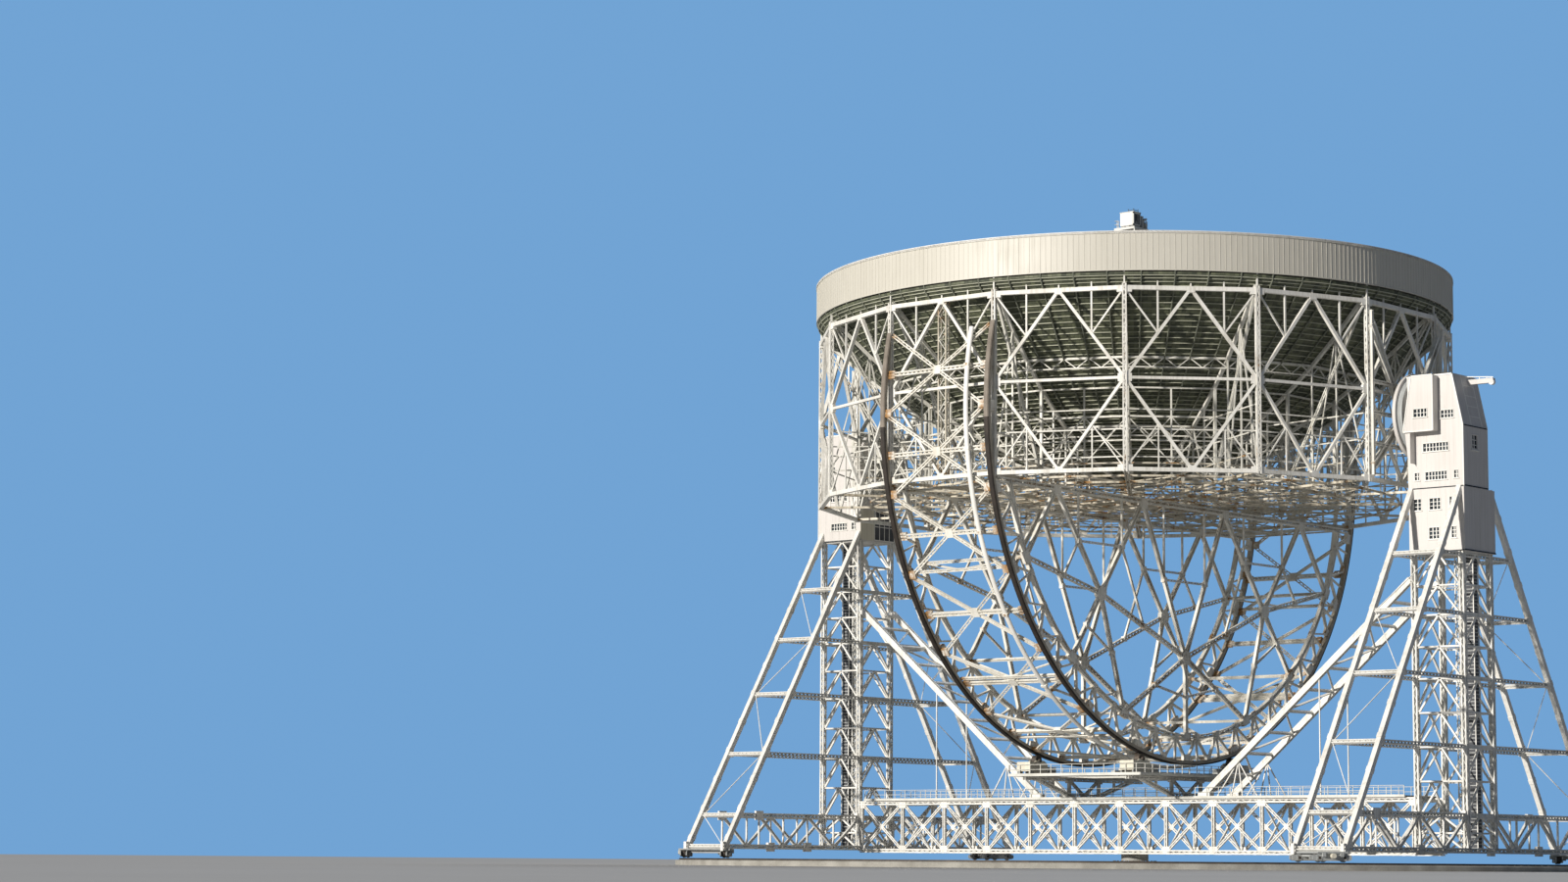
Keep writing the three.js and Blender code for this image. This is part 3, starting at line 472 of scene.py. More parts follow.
class Steelwork:
    def __init__(self):
        self.bars, self.skins, self.laces = [], [], []

    def bar(self, start, end, wide, deep, facing, paint=0):
        self.bars.append((*start, *end, *facing, wide, deep, paint))

    def run(self, places, *size):
        for start, end in pairs(places):
            self.bar(start, end, *size)

    def lace(self, start, end, swing, pitch, thick):
        self.laces.append((start, end, swing, pitch, thick))

    # Two flats with lacing between them.
    def laced(self, start, end, wide, deep, facing, pitch, cross, flat):
        start, end = np.asarray(start, float), np.asarray(end, float)
        side = unit(np.cross(end - start, facing)) * (wide - flat) / 2
        for sign in both:
            self.bar(start + sign * side, end + sign * side, flat, deep, facing)
        for swing in (side, -side)[:2 if cross else 1]:
            self.lace(start, end, swing, pitch, 0.09)

    # Four corner angles with lacing on all sides.
    def column(self, start, end, wide, deep, facing, pitch, angle):
        start, end = np.asarray(start, float), np.asarray(end, float)
        side = unit(np.cross(end - start, facing))
        out = unit(np.cross(side, end - start)) * (deep - angle) / 2
        side = side * (wide - angle) / 2
        for i, j in corners:
            shift = i * side + j * out
            self.bar(start + shift, end + shift, angle, angle, facing)
        for sign in both:
            for shift, swing in ((out, side), (side, out)):
                self.lace(start + sign * shift, end + sign * shift, swing, pitch, 0.1)

    def plate(self, centre, wide, tall, thick, facing, upward=up, paint=0):
        reach = unit(upward) * tall / 2
        self.bar(centre - reach, centre + reach, wide, thick, facing, paint)

    def skin(self, sections, ring=False, paint=0):
        self.skins.append((np.array(sections, float), ring, paint))

    # A flat plate from its outline.
    def sheet(self, outline, thick, facing):
        half = unit(facing) * thick / 2
        self.skin([outline - half, outline + half])

    # A closed profile of radius and height, turned about the vertical axis, or about the elevation axis.
    def turned(self, profile, count, paint=0, level=False):
        radius, along = np.array(profile, float).T
        sections = []
        for angle in around(count):
            c, s = radius * math.cos(angle), radius * math.sin(angle)
            sections.append(np.stack([along, s, axisHeight - c] if level else [c, s, along], axis=1))
        self.skin(sections, True, paint)

    def box(self, low, high, paint=0):
        x, y = (low[0] + high[0]) / 2, (low[1] + high[1]) / 2
        self.bar((x, y, low[2]), (x, y, high[2]), high[0] - low[0], high[1] - low[1], alongY, paint)

    # A round bar or drum.
    def drum(self, start, end, radius, count=24, paint=0):
        start, end = np.asarray(start, float), np.asarray(end, float)
        along = unit(end - start)
        first = unit(np.cross(along, (0.31, 0.17, 0.93)))
        second = np.cross(along, first)
        ring = np.array([radius * (math.cos(a) * first + math.sin(a) * second) for a in around(count)])
        self.skin([start + ring, end + ring], False, paint)

    # Where the name is a node's, the piece replaces it.
    def make(self, node, body, slot, finishes, lacing=None, name=None):
        name = name or camel(node)
        parts = ([barMesh(self.bars)] if self.bars else []) + [skinMesh(*skin) for skin in self.skins]
        faces, total = [], 0
        for part in parts:
            faces += [[corner + total for corner in face] for face in part[1]]
            total += len(part[0])
        points, spans, kinds = (np.concatenate([part[n] for part in parts]) for n in (0, 2, 3))
        mesh = bpy.data.meshes.new(name)
        mesh.from_pydata(points * tenth, [], faces)
        for paint in finishes:
            mesh.materials.append(paints[paint])
        mesh.polygons.foreach_set("material_index", kinds.astype(np.int32))
        mesh.uv_layers.new(name="span").data.foreach_set("uv", spans.astype(np.float32).ravel())
        mesh.shade_smooth()
        mesh.set_sharp_from_angle(angle=math.radians(32))
        settle(placed(name, mesh), body, [node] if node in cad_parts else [])
        if self.laces:
            ends = [end for lace in self.laces for end in lace[:2]]
            edges = [(i, i + 1) for i in range(0, len(ends), 2)]
            rows = {key: np.repeat([lace[n] for lace in self.laces], 2, axis=0)
                    for n, key in ((2, "swing"), (3, "pitch"), (4, "thick"))}
            grow(name + "Lacing", "lacing", ends, edges, rows, lacing or finishes[0], body, slot)


class Fixings:
    # blocks or bolts that a tree sets at points
    def __init__(self):
        self.rows = []

    def add(self, centre, size, heading, outward=up):
        self.rows.append((centre, size, heading, outward))

    def make(self, name, kind, paint, body, slot):
        centre, size, heading, outward = (np.array(column, float) for column in zip(*self.rows))
        rows = {"size": size, "heading": heading, "outward": outward}
        grow(name, kind, centre, [], rows, paint, body, slot)


def wired(paths, closed=False):
    points, edges = [], []
    for path in paths:
        first = len(points)
        points += [tuple(p) for p in path]
        edges += pairs(range(first, len(points)))
        if closed:
            edges.append((len(points) - 1, first))
    return points, edges


def railing(name, paths, body, height=1.1, pitch=1.6, thick=0.07):
    sizes = {"height": height, "pitch": pitch, "thick": thick}
    grow(name, "railing", *wired(paths), {}, "lightPaint", body, white, **sizes)


def rods(name, paths, thick, paint, body, slot, closed=False):
    points, edges = wired(paths, closed)
    grow(name, "rods", points, edges, {"thick": np.full(len(points), thick)}, paint, body, slot)


print("trees made:", len(trees))


# Ground works

track = {"inner": 47.9, "outer": 54.3, "bed": 0.6, "lip": 0.12, "rails": (48.9, 53.75), "sides": 180,
         "rail": ((0.15, 0), (0.15, 0.04), (0.05, 0.07), (0.05, 0.12), (0.1, 0.14), (0.1, 0.2)),
         "clip": (0.12, 0.2, 0.06), "clipShift": 0.19, "clipPitch": 1.3, "joints": 60}
pivot = {"block": [(0.72, 0), (3, 0), (3, 0.72), (2.92, 0.8), (0.72, 0.8)],
         "pin": [(0.001, 0.4), (0.7, 0.4), (0.7, 1.54), (0.64, 1.6), (0.001, 1.6)],
         "collar": [(0.72, 0.8), (1.3, 0.8), (1.3, 0.83), (0.72, 0.83)], "bolts": 24, "boltRing": 2.5}


def makeTrack():
    work, clips, joints = Steelwork(), Fixings(), Fixings()
    inner, outer, bed, lip, count = pick(track, "inner outer bed lip sides")
    work.turned([(inner, 0), (outer, 0), (outer, bed - lip), (outer - lip, bed), (inner + lip, bed),
                 (inner, bed - lip)], count)
    for radius in track["rails"]:
        halves = (1, track["rail"]), (-1, track["rail"][::-1])
        work.turned([(radius + s * w, bed + z) for s, half in halves for w, z in half], count, 1)
        for angle in around(int(turn * radius / track["clipPitch"])):
            for s in both:
                place = polar(radius + s * track["clipShift"], angle, bed + 0.03)
                clips.add(place, track["clip"], polar(1, angle))
    middle, joint = (inner + outer) / 2, (outer - inner - 0.3, 0.1, 0.03)
    for angle in around(track["joints"]):
        joints.add(polar(middle, angle, bed), joint, polar(1, angle))
    work.make("rail_track", "ground_works", "concrete", ["concrete", "railSteel"])
    clips.make("railClips", "blocks", "railSteel", "ground_works", "steel")
    joints.make("trackJoints", "blocks", "grating", "ground_works", "concrete")


def makePivot():
    work, bolts = Steelwork(), Fixings()
    for part, count, paint in (("block", 72, 0), ("pin", 48, 1), ("collar", 48, 1)):
        work.turned(pivot[part], count, paint)
    for angle in around(pivot["bolts"]):
        bolts.add(polar(pivot["boltRing"], angle, 0.84), (0.16, 0.16, 0.1), polar(1, angle))
    work.make("pivot_block", "ground_works", "concrete", ["concrete", "railSteel"])
    bolts.make("pivotBolts", "bolts", "railSteel", "ground_works", "steel")


makeTrack()
makePivot()
print("ground works made")


# Turntable: the girders across the middle

girder = {"y": 3, "low": 1.9, "high": 7.8, "end": 39.597, "panels": 12, "deck": 8.25, "deckHalf": 3.6,
          "deckReach": 38.6, "joists": 78, "gap": (10.4, 11), "socket": 0.712,
          "chord": (0.5, 0.5, alongY, 0.8, 0.17), "cover": (0.1, 0.48, alongY),
          "post": (0.4, 0.34, alongY, 0.7, False, 0.12), "gusset": (1.05, 0.7, 0.3, alongY),
          "rising": (0.36, 0.26, alongY, 0.7, False, 0.11),
          "falling": (0.36, 0.2, alongY, 0.7, False, 0.11)}
panelEnd = girder["end"] - 0.2
panelStep = 2 * panelEnd / girder["panels"]
panelX = [*(-panelEnd + panelStep * i for i in range(girder["panels"])), panelEnd]


def makeGirder(node, side):
    work = Steelwork()
    low, high, end = pick(girder, "low high end")
    y = side * girder["y"]
    for z in (low, high):
        work.column((-end, y, z), (end, y, z), *girder["chord"])
        work.bar((-end, y, z + 0.2), (end, y, z + 0.2), *girder["cover"])
    for x in panelX:
        work.laced((x, y, low), (x, y, high), *girder["post"])
        for z in (low + 0.3, high - 0.3):
            work.plate((x, y, z), *girder["gusset"])
        if x < panelEnd:
            after = x + panelStep
            work.laced((x, y, low), (after, y, high), *girder["rising"])
            work.laced((x, y, high), (after, y, low), *girder["falling"])
            work.plate(((x + after) / 2, y, (low + high) / 2), 0.5, 0.6, 0.24, alongY)
    work.make(node, "turntable", white, ["towerPaint"], "lightPaint")


def makeCrossFrames():
    work = Steelwork()
    low, high, bore = pick(girder, "low high socket")
    y, high = girder["y"] - 0.26, high - 0.1
    for x in panelX:
        for z in (low, high):
            work.laced((x, -y, z), (x, y, z), 0.4, 0.3, up, 0.7, False, 0.12)
        for s, deep in ((1, 0.2), (-1, 0.14)):
            work.bar((x, -s * y, low), (x, s * y, high), 0.22, deep, alongX)
        if x < panelEnd:
            for s, deep in ((1, 0.16), (-1, 0.12)):
                work.bar((x, -s * y, low), (x + panelStep, s * y, low), 0.22, deep, up)
    work.bar((-36, 0, low), (36, 0, low), 0.3, 0.24, up)
    work.turned([(bore, 0.86), (1.6, 0.86), (1.6, 1.9), (1.5, 2.0), (bore, 2.0)], 64, 1)
    work.make("girder_cross_frames", "turntable", white, ["towerPaint", "greyPaint"], "lightPaint")


def makeDeck():
    work, joists = Steelwork(), Fixings()
    reach, half, top, count = pick(girder, "deckReach deckHalf deck joists")
    work.box((-reach, -half, top - 0.1), (reach, half, top))
    for y in (-half, half):
        work.box((-reach, y - 0.05, top - 0.19), (reach, y + 0.05, top + 0.1), 1)
    work.make("girder_deck", "turntable", "grey_paint", ["grating", "lightPaint"])
    for i in range(count):
        x = -reach + 0.5 + i * (2 * reach - 1) / (count - 1)
        joists.add((x, 0, top - 0.14), (0.12, 2 * half - 0.1, 0.08), alongX)
        joists.add((x, 0, top + 0.005), (0.05, 2 * half - 0.3, 0.02), alongX)
    joists.make("deckJoists", "blocks", "lightPaint", "turntable", "grey_paint")
    inner, outer = girder["gap"]
    edges = [s * (half - 0.03) for s in both]
    paths = [[(s * outer, y, top), (s * (reach - 0.1), y, top)] for y in edges for s in both]
    railing("deckRailing", paths + [[(-inner, y, top), (inner, y, top)] for y in edges], "turntable")


makeGirder("girder_front", -1)
makeGirder("girder_back", 1)
makeCrossFrames()
makeDeck()
print("girders made")


# Turntable: bogies

bogie = {"radius": 51.3, "foot": (42.9, 28.1), "axle": 1.3, "along": 1.4, "top": 1.955, "cheekX": 0.36,
         "cheek": ((-2.2, 1.12), (-1.9, 0.98), (1.9, 0.98), (2.2, 1.12), (2.2, 1.5), (1.2, 1.84),
                   (-1.2, 1.84), (-2.2, 1.5)),
         "wheels": ((-0.13, 0.13, 0.45), (-0.2, -0.13, 0.4), (0.13, 0.2, 0.4), (-0.48, 0.48, 0.16))}


def makeBogie(node, sideX, sideY):
    work, bolts = Steelwork(), Fixings()
    top, axle = pick(bogie, "top axle")
    angle = math.atan2(sideY * bogie["foot"][1], sideX * bogie["foot"][0])
    outward, along = polar(1, angle), tangent(angle)

    def place(x, y, z):
        return outward * (bogie["radius"] + x) + along * y + up * z

    work.bar(place(-3.1, 0, top - 0.1), place(3.1, 0, top - 0.1), 3.4, 0.18, up)
    for y in both:
        work.bar(place(-3.2, y, 1.62), place(3.2, y, 1.62), 0.35, 0.44, up)
    for radius in track["rails"]:
        x = radius - bogie["radius"]
        for s in both:
            work.sheet([place(x + s * bogie["cheekX"], y, z) for y, z in bogie["cheek"]], 0.12, outward)
        for y in (-bogie["along"], bogie["along"]):
            for start, end, size in bogie["wheels"]:
                work.drum(place(x + start, y, axle), place(x + end, y, axle), size, 28, 1)
            for s in both:
                work.plate(place(x + s * 0.43, y, axle), 0.5, 0.6, 0.06, outward, along)
                for i, j in corners:
                    centre = place(x + s * 0.48, y + i * 0.2, axle + j * 0.17)
                    bolts.add(centre, (0.07, 0.07, 0.05), along, s * outward)
        work.plate(place(x, 0, 1.45), 0.5, 1, 0.55, up, along, 2)
        work.drum(place(x + 0.3, 0, 1.5), place(x + 0.95, 0, 1.5), 0.26, 20, 2)
    work.make(node, "turntable", "steel", ["machineGrey", "railSteel", "creamPaint"])
    bolts.make(node + "_bolts", "bolts", "railSteel", "turntable", "steel")


for sideX, word in sides:
    makeBogie(word + "front_bogie", sideX, -1)
    makeBogie(word + "back_bogie", sideX, 1)
print("bogies made")


# Turntable: towers

tower = {"inner": 39.9, "outer": 45.9, "columnY": 3, "footY": 28.1, "foot": 2.23, "legTopY": 3.2,
         "legTop": 42, "base": 6, "coreTop": 41, "ties": (34.5, 28, 21, 13.5),
         "zigzag": (3, 8, 13, 17.5, 22), "columnTops": (40.997, 34.897),
         "sill": (0.55, 0.6, alongX, 0.9, 0.18), "column": (0.6, 0.6, alongX, 0.9, 0.17),
         "tie": (0.36, alongX, 0.7, True, 0.13), "leg": (0.62, 0.56, alongX),
         "splice": (0.72, 0.62, alongX), "edge": 0.303,
         "web": (0.32, 0.28, alongX, 0.6, False, 0.1), "gusset": (1.2, 1.1, 0.4, alongX)}
levels = (*tower["ties"], tower["base"])
rake = (tower["footY"] - tower["legTopY"]) / (tower["legTop"] - tower["foot"])
shaft = {"x": 44.9, "y": 0.7, "half": 0.55, "ladder": 43.5, "slat": 0.4}


def coreLevels(top):
    # the ties, the heights between them, and both ends
    ends = sorted([*levels, tower["foot"], tower["coreTop"]])
    return [z for a, b in pairs(ends) for z in (a, (a + b) / 2) if z < top - 1] + [top]


def legY(z):
    return tower["legTopY"] + (tower["legTop"] - z) * rake


def makeTowerSide(node, x, columnTop):
    work = Steelwork()
    foot, base, footY, columnY = pick(tower, "foot base footY columnY")
    work.column((x, -footY - 0.5, foot), (x, footY + 0.5, foot), *tower["sill"])
    for z in levels:
        work.laced((x, -legY(z), z), (x, legY(z), z), 0.55 if z == base else 0.45, *tower["tie"])
    for s in both:
        work.column((x, s * columnY, foot), (x, s * columnY, columnTop), *tower["column"])
        leg = point(x, s * footY, foot), point(x, s * tower["legTopY"], tower["legTop"])
        work.bar(*leg, *tower["leg"])
        for share in np.arange(0.02, 1, 0.09):
            work.bar(between(*leg, share), between(*leg, share + 0.012), *tower["splice"])
        for y, z in ((columnY, base), (13, foot), (22, base), (footY, foot)):
            work.plate((x, s * y, z), *tower["gusset"])
        zigzag = [(x, s * y, (base, foot)[n % 2]) for n, y in enumerate(tower["zigzag"])]
        for start, end in pairs(zigzag):
            work.laced(start, end, *tower["web"])
        for n, (x, y, z) in enumerate(zigzag[1:]):
            work.bar((x, y, (base, foot)[n % 2]), (x, y, z), 0.16, 0.2, alongX)
        for z in levels:
            work.plate((x, s * (legY(z) - 0.3), z), 1.0, 0.7, 0.4, alongX)
            work.plate((x, s * columnY, z - 0.2), 0.7, 0.9, 0.4, alongX)
    for low, high in pairs(coreLevels(columnTop)):
        work.bar((x, -columnY, high), (x, columnY, high), 0.2, 0.24, alongX)
        for y in (-columnY, columnY):
            work.bar((x, y, low), (x, 0, high), 0.22, 0.22, alongX)
    work.make(node, "turntable", white, ["towerPaint"], "lightPaint")


def makeLegBracing(node, side, face):
    # ties between the raking legs, and one thin rod between each two
    work = Steelwork()
    ends = side * (tower["inner"] + tower["edge"]), side * (tower["outer"] - tower["edge"])
    facing = (0, face, rake)
    heights = [*levels, tower["foot"]]
    for i, z in enumerate(heights):
        start, end = ((x, face * legY(z), z) for x in ends)
        work.laced(start, end, 0.42, 0.34, facing, 0.6, True, 0.12)
        if z > tower["foot"]:
            below = heights[i + 1]
            work.bar((end, start)[i % 2], (ends[i % 2], face * legY(below), below), 0.08, 0.08, facing)
    work.make(node, "turntable", white, ["towerPaint"], "lightPaint")


def makeShaft(node, side, top):
    # the lift shaft, the laced ladder beside it and the bracing of the tower's core
    work, slats = Steelwork(), Fixings()
    foot, columnY = pick(tower, "foot columnY")
    y, half = pick(shaft, "y half")
    near, far = side * (tower["inner"] + 0.3), side * (tower["outer"] - 0.3)
    x, ladder = side * shaft["x"], side * shaft["ladder"]
    for i, j in corners:
        place = (x + i * half, y + j * half)
        work.bar((*place, foot), (*place, top), 0.1, 0.1, alongX)
    inside = half - 0.06
    # a near-black box between the corner bars: painted shade for the inside of the shaft
    work.box((x - inside, y - inside, foot), (x + inside, y + inside, top), 1)
    for i, j in corners:
        place = (ladder + i * 0.4, y + j * 0.35)
        work.bar((*place, foot), (*place, top), 0.12, 0.12, alongX)
        place = (ladder, y + i * 0.35)
        work.lace((*place, foot), (*place, top), (j * 0.36, 0, 0), 0.75, 0.08)
    for low, high in pairs(coreLevels(top)):
        for face in (-columnY, columnY):
            work.bar((near, face, high), (far, face, high), 0.18, 0.2, alongY)
            for edge in (near, far):
                work.bar((edge, face, low), ((near + far) / 2, face, high), 0.2, 0.2, alongY)
        for edge in (near, far):
            work.bar((edge, -columnY, high), (edge, columnY, high), 0.14, 0.14, alongX)
        work.bar((near, -columnY, high), (far, columnY, high), 0.12, 0.12, up)
    work.make(node, "turntable", white, ["towerPaint", "slatPaint"], "lightPaint")
    for z in np.arange(foot + 0.3, top, shaft["slat"]):
        for s in both:
            shift = s * (half - 0.04)
            slats.add((x, y + shift, z), (2 * half - 0.1, 0.05, 0.09), alongX)
            slats.add((x + shift, y, z), (0.05, 2 * half - 0.1, 0.09), alongX)
    slats.make(node + "_slats", "blocks", "machineGrey", "turntable", "grey_paint")


for (side, word), columnTop in zip(sides, tower["columnTops"]):
    makeTowerSide(word + "tower_inner_side", side * tower["inner"], columnTop)
    makeTowerSide(word + "tower_outer_side", side * tower["outer"], columnTop)
    makeLegBracing(word + "tower_front_bracing", side, -1)
    makeLegBracing(word + "tower_back_bracing", side, 1)
    makeShaft(word + "lift_shaft", side, columnTop - 0.05)
print("towers made")


# Turntable: raking struts, drum covers and cabins

strut = {"top": (39.5, 32.06), "foot": (11.9, 8.5), "y": 3, "rungs": 9,
         "shoe": (12.1, 8.5), "hangerFoot": 8.2,
         "hangers": ((16.6, 12.3, (13.6, 15.6, 17.1, 19.2)), (27.5, 21.6, (27.5,)))}
cover = {"near": 38.5, "far": 39.597, "radius": 4.95, "step": 4.6, "bore": 1.106, "ribs": 24}


def makeStruts(node, side):
    work = Steelwork()
    top, foot = point(*strut["top"]), point(*strut["foot"])
    normal = unit((-(top - foot)[1], (top - foot)[0]))
    facing, step = (side * normal[0], 0, normal[1]), 1 / (strut["rungs"] + 1)
    edges = (-strut["y"], strut["y"])

    def place(share, y):
        x, z = between(top, foot, share)
        return point(side * x, y, z)

    for y in edges:
        work.column(place(0, y), place(1, y), 0.6, 0.7, facing, 0.9, 0.2)
        for flank in (-0.25, 0.25):
            work.bar(place(0, y + flank), place(1, y + flank), 0.04, 0.5, facing)
    for n in range(1, strut["rungs"] + 1):
        work.bar(place(n * step, edges[0]), place(n * step, edges[1]), 0.3, 0.26, facing)
    for n in range(1, strut["rungs"]):
        work.bar(place(n * step, edges[n % 2]), place((n + 1) * step, edges[1 - n % 2]), 0.2, 0.2, facing)
    shoeX, shoeZ = strut["shoe"]
    for y in edges:
        work.plate((side * shoeX, y, shoeZ), 1.6, 0.45, 0.9, alongY)
        for x, z, feet in strut["hangers"]:
            for low in feet:
                work.bar((side * x, y, z), (side * low, y, strut["hangerFoot"]), 0.12, 0.12, alongY)
    work.make(node, "turntable", white, ["towerPaint"], "lightPaint")


def makeDrumCover(node, side):
    work, ribs, bolts = Steelwork(), Fixings(), Fixings()
    near, far, radius, step, bore = pick(cover, "near far radius step bore")
    front = [(bore, 0.1), (1.7, 0.1), (1.8, 0.2), (radius - 0.5, 0.2), (radius - 0.4, 0),
             (radius - 0.08, 0), (radius, 0.08), (radius, 0.45), (bore, 0.45)]
    back = [(bore, 0.452), (step, 0.452), (step, far - near), (bore, far - near)]
    for paint, profile in enumerate((front, back)):
        work.turned([(r, side * (near + x)) for r, x in profile], 96, paint, True)
    work.make(node, "turntable", "cabin_paint", ["cabinPaint", "machineGrey"])
    centre, outward = point(side * (near + 0.16), 0, axisHeight), (side, 0, 0)
    for angle in around(cover["ribs"]):
        direction = away(angle)
        ribs.add(centre + direction * 3.1, (2.5, 0.1, 0.1), direction, outward)
        bolts.add(centre + direction * 1.45 - (side * 0.06, 0, 0), (0.14, 0.14, 0.12), direction, outward)
    ribs.make(node + "_ribs", "blocks", "cabinPaint", "turntable", "cabin_paint")
    bolts.make(node + "_bolts", "bolts", "machineGrey", "turntable", "steel")


cabin = {"inner": 39.6, "outer": 46.5, "front": -3.4, "shoulder": 48.8, "roofX": 45.25, "seams": 1.15,
         "recess": 45.2, "slope": 5.85 / 1.25}
cabins = {  # windows: middle x, sill, width, height; the one in the end: y, sill, width, height
    "left_cabin": {
        "side": -1, "low": 41, "high": 54.65, "back": 3.4, "end": (0, 46.2, 1.4, 1.7),
        "rows": [(40.7, 42.4, 0.7, 0.9), (43.1, 42.4, 2.6, 0.9), (43.1, 46.1, 3.2, 0.95),
                 (44.6, 49.7, 1.6, 0.9)]},
    "right_cabin": {
        "side": 1, "low": 42, "high": 54.65, "back": 1.9, "end": (-0.8, 46.2, 1.4, 1.7),
        "rows": [(40.7, 42.95, 0.6, 0.9), (43.1, 42.9, 2.7, 0.95), (45.6, 42.95, 0.55, 0.9),
                 (43.1, 46.1, 3.2, 0.95), (44.6, 49.7, 1.6, 0.9)]},
    "right_lower_cabin": {
        "side": 1, "low": 34.9, "high": 42, "back": 3.4, "end": None,
        "rows": [(40.7, 39.6, 1, 1.3), (42.9, 39.6, 1.4, 1.3), (45, 39.75, 0.6, 1.2),
                 (42.75, 36.35, 1.3, 1.3), (45.2, 36.35, 0.6, 1.3)]},
}
bay = {"front": -4.65, "outline": [(39.75, 48.3), (43.5, 48.3), (43.5, 54.5), (40.83, 54.5)],
       "windows": ((41.95, -4.65, 50.325, 1.7, 0.95), (44.6, -3.38, 50.15, 1.6, 0.9)),
       "jib": ((45.3, -0.3, 54.12), (48.55, 0.3, 54.18)), "stay": ((43.8, 0, 54.72), (48.5, 0, 54.3)),
       "pins": (46.8, 47.7), "pinZ": (54.15, 54.45), "sheave": (48.35, 53.75, 0.32)}


def addWindow(work, centre, across, wide, tall, outward, pane=0.4):
    # a frame, glazing bars and dark panes set in an opening
    centre, across, outward = (np.asarray(v, float) for v in (centre, across, outward))
    inside = centre - outward * 0.12
    work.plate(inside, wide, tall, 0.03, outward, up, 1)
    for s in both:
        work.plate(centre + across * s * wide / 2, 0.07, tall, 0.16, outward)
        work.plate(centre + up * s * tall / 2, 0.07, wide, 0.16, outward, across)
    columns, rows = max(2, round(wide / pane)), 2 if tall < 1 else 3
    for i in range(1, columns):
        work.plate(inside + across * wide * (i / columns - 0.5), 0.1, tall, 0.16, outward)
    for i in range(1, rows):
        work.plate(inside + up * tall * (i / rows - 0.5), 0.06, wide, 0.15, outward, across)
    work.plate(centre - up * (tall / 2 + 0.06) + outward * 0.06, 0.07, wide + 0.24, 0.2, outward, across)


def makeCabinTrim(node):
    work = Steelwork()
    side, low, high, back, end = pick(cabins[node], "side low high back end")
    front, shoulder = pick(cabin, "front shoulder")
    inner, outer, roof = side * cabin["inner"], side * (cabin["outer"] + 0.03), side * cabin["roofX"]
    for x, sill, wide, tall in cabins[node]["rows"]:
        for face, y in ((-1, front), (1, back)):
            behindBay = face < 0 and node == "right_cabin" and x > 44 and sill > 49
            if not behindBay:
                centre = (side * x, y - face * 0.02, sill + tall / 2)
                addWindow(work, centre, alongX, wide, tall, (0, face, 0))
    if end:
        y, sill, wide, tall = end
        addWindow(work, (outer - side * 0.05, y, sill + tall / 2), alongY, wide, tall, (side, 0, 0), 0.7)
    trims = (front - 0.03, back + 0.03)
    for y in trims:
        work.bar((inner, y, low + 0.05), (outer, y, low + 0.05), 0.1, 0.08, alongY, 1)
    work.bar((outer, front, low + 0.1), (outer, back, low + 0.1), 0.14, 0.08, alongX, 1)
    if end:
        for y in trims:
            eaves = (outer, y, shoulder)
            work.run([(inner, y, high - 0.08), (roof, y, high - 0.08), eaves], 0.16, 0.1, alongY)
            work.bar(eaves, (outer, y, low), 0.12, 0.08, alongY)
        outward = unit(np.cross(alongY, (outer - roof, 0, shoulder - high)) * side)
        work.bar((outer, front, shoulder), (outer, back, shoulder), 0.12, 0.08, alongX, 1)
        crest, eaves = ((x, 0, z) + outward * 0.03 for x, z in ((roof, high), (outer, shoulder)))
        for y in (-1.5, 0.9):
            work.bar(crest + (0, y, 0), eaves + (0, y, 0), 0.14, 0.08, outward)
        for share in (0.2, 0.4, 0.6, 0.8):
            at = between(crest, eaves, share)
            work.bar(at - (0, 1.5, 0), at + (0, 0.9, 0), 0.08, 0.06, outward)
        left, right = sorted((inner, roof))
        work.box((left + 0.1, front + 0.1, high), (right - 0.1, back - 0.1, high + 0.05))
        # the inner face: a cream plate in front, and a dark recess with frames behind it, whose back plate
        # is near-black painted shade
        face, near, far = inner - side * 0.02, -0.6, back - 0.1
        wide, foot, tall = far - near, low + 0.2, cabin["recess"] - low - 0.4
        work.plate((face, (front - 0.7) / 2, low + 2), -0.7 - front, tall, 0.05, alongX, up, 2)
        work.plate((face, near + wide / 2, foot + tall / 2), wide, tall, 0.05, alongX, up, 3)
        for n in range(5):
            work.plate((face, near + wide * n / 4, foot + tall / 2), 0.09, tall, 0.12, alongX)
        for share in (0, 0.45, 1):
            work.plate((face, near + wide / 2, foot + tall * share), 0.09, wide, 0.12, alongX, alongY)
    finishes = ["edgePaint", "darkGlass", "creamPaint", "slatPaint"]
    work.make(node + "_trim", "turntable", "cabin_paint", finishes)


def makeCabinSeams(node):
    # upright seams between the windows
    seams = Fixings()
    side, low, high, back, end, rows = pick(cabins[node], "side low high back end rows")
    front, pitch = pick(cabin, "front seams")
    for i in range(1, 6):
        x = cabin["inner"] + i * pitch
        gaps = [(sill - 0.15, sill + tall + 0.1) for middle, sill, wide, tall in rows
                if abs(middle - x) < wide / 2 + 0.1]
        top = high - 0.2
        if end:
            top -= max(x - cabin["roofX"], 0) * cabin["slope"]
        z = low + 0.2
        for start, after in [*sorted(gaps), (top, top)]:
            if start - z > 0.3:
                for face, y in ((-1, front), (1, back)):
                    centre = (side * x, y + face * 0.006, (z + start) / 2)
                    seams.add(centre, (0.03, start - z, 0.014), alongX, (0, face, 0))
            z = max(z, after)
    top = cabin["shoulder"] - 0.2 if end else high - 0.1
    for i in range(1, int((back - front) / pitch)):
        y = front + i * pitch
        if not end or abs(y - end[0]) >= 0.7:
            centre = (side * (cabin["outer"] + 0.006), y, (low + top + 0.2) / 2)
            seams.add(centre, (top - low - 0.2, 0.03, 0.014), up, (side, 0, 0))
    seams.make(node + "_trim_seams", "blocks", "cabinPaint", "turntable", "cabin_paint")


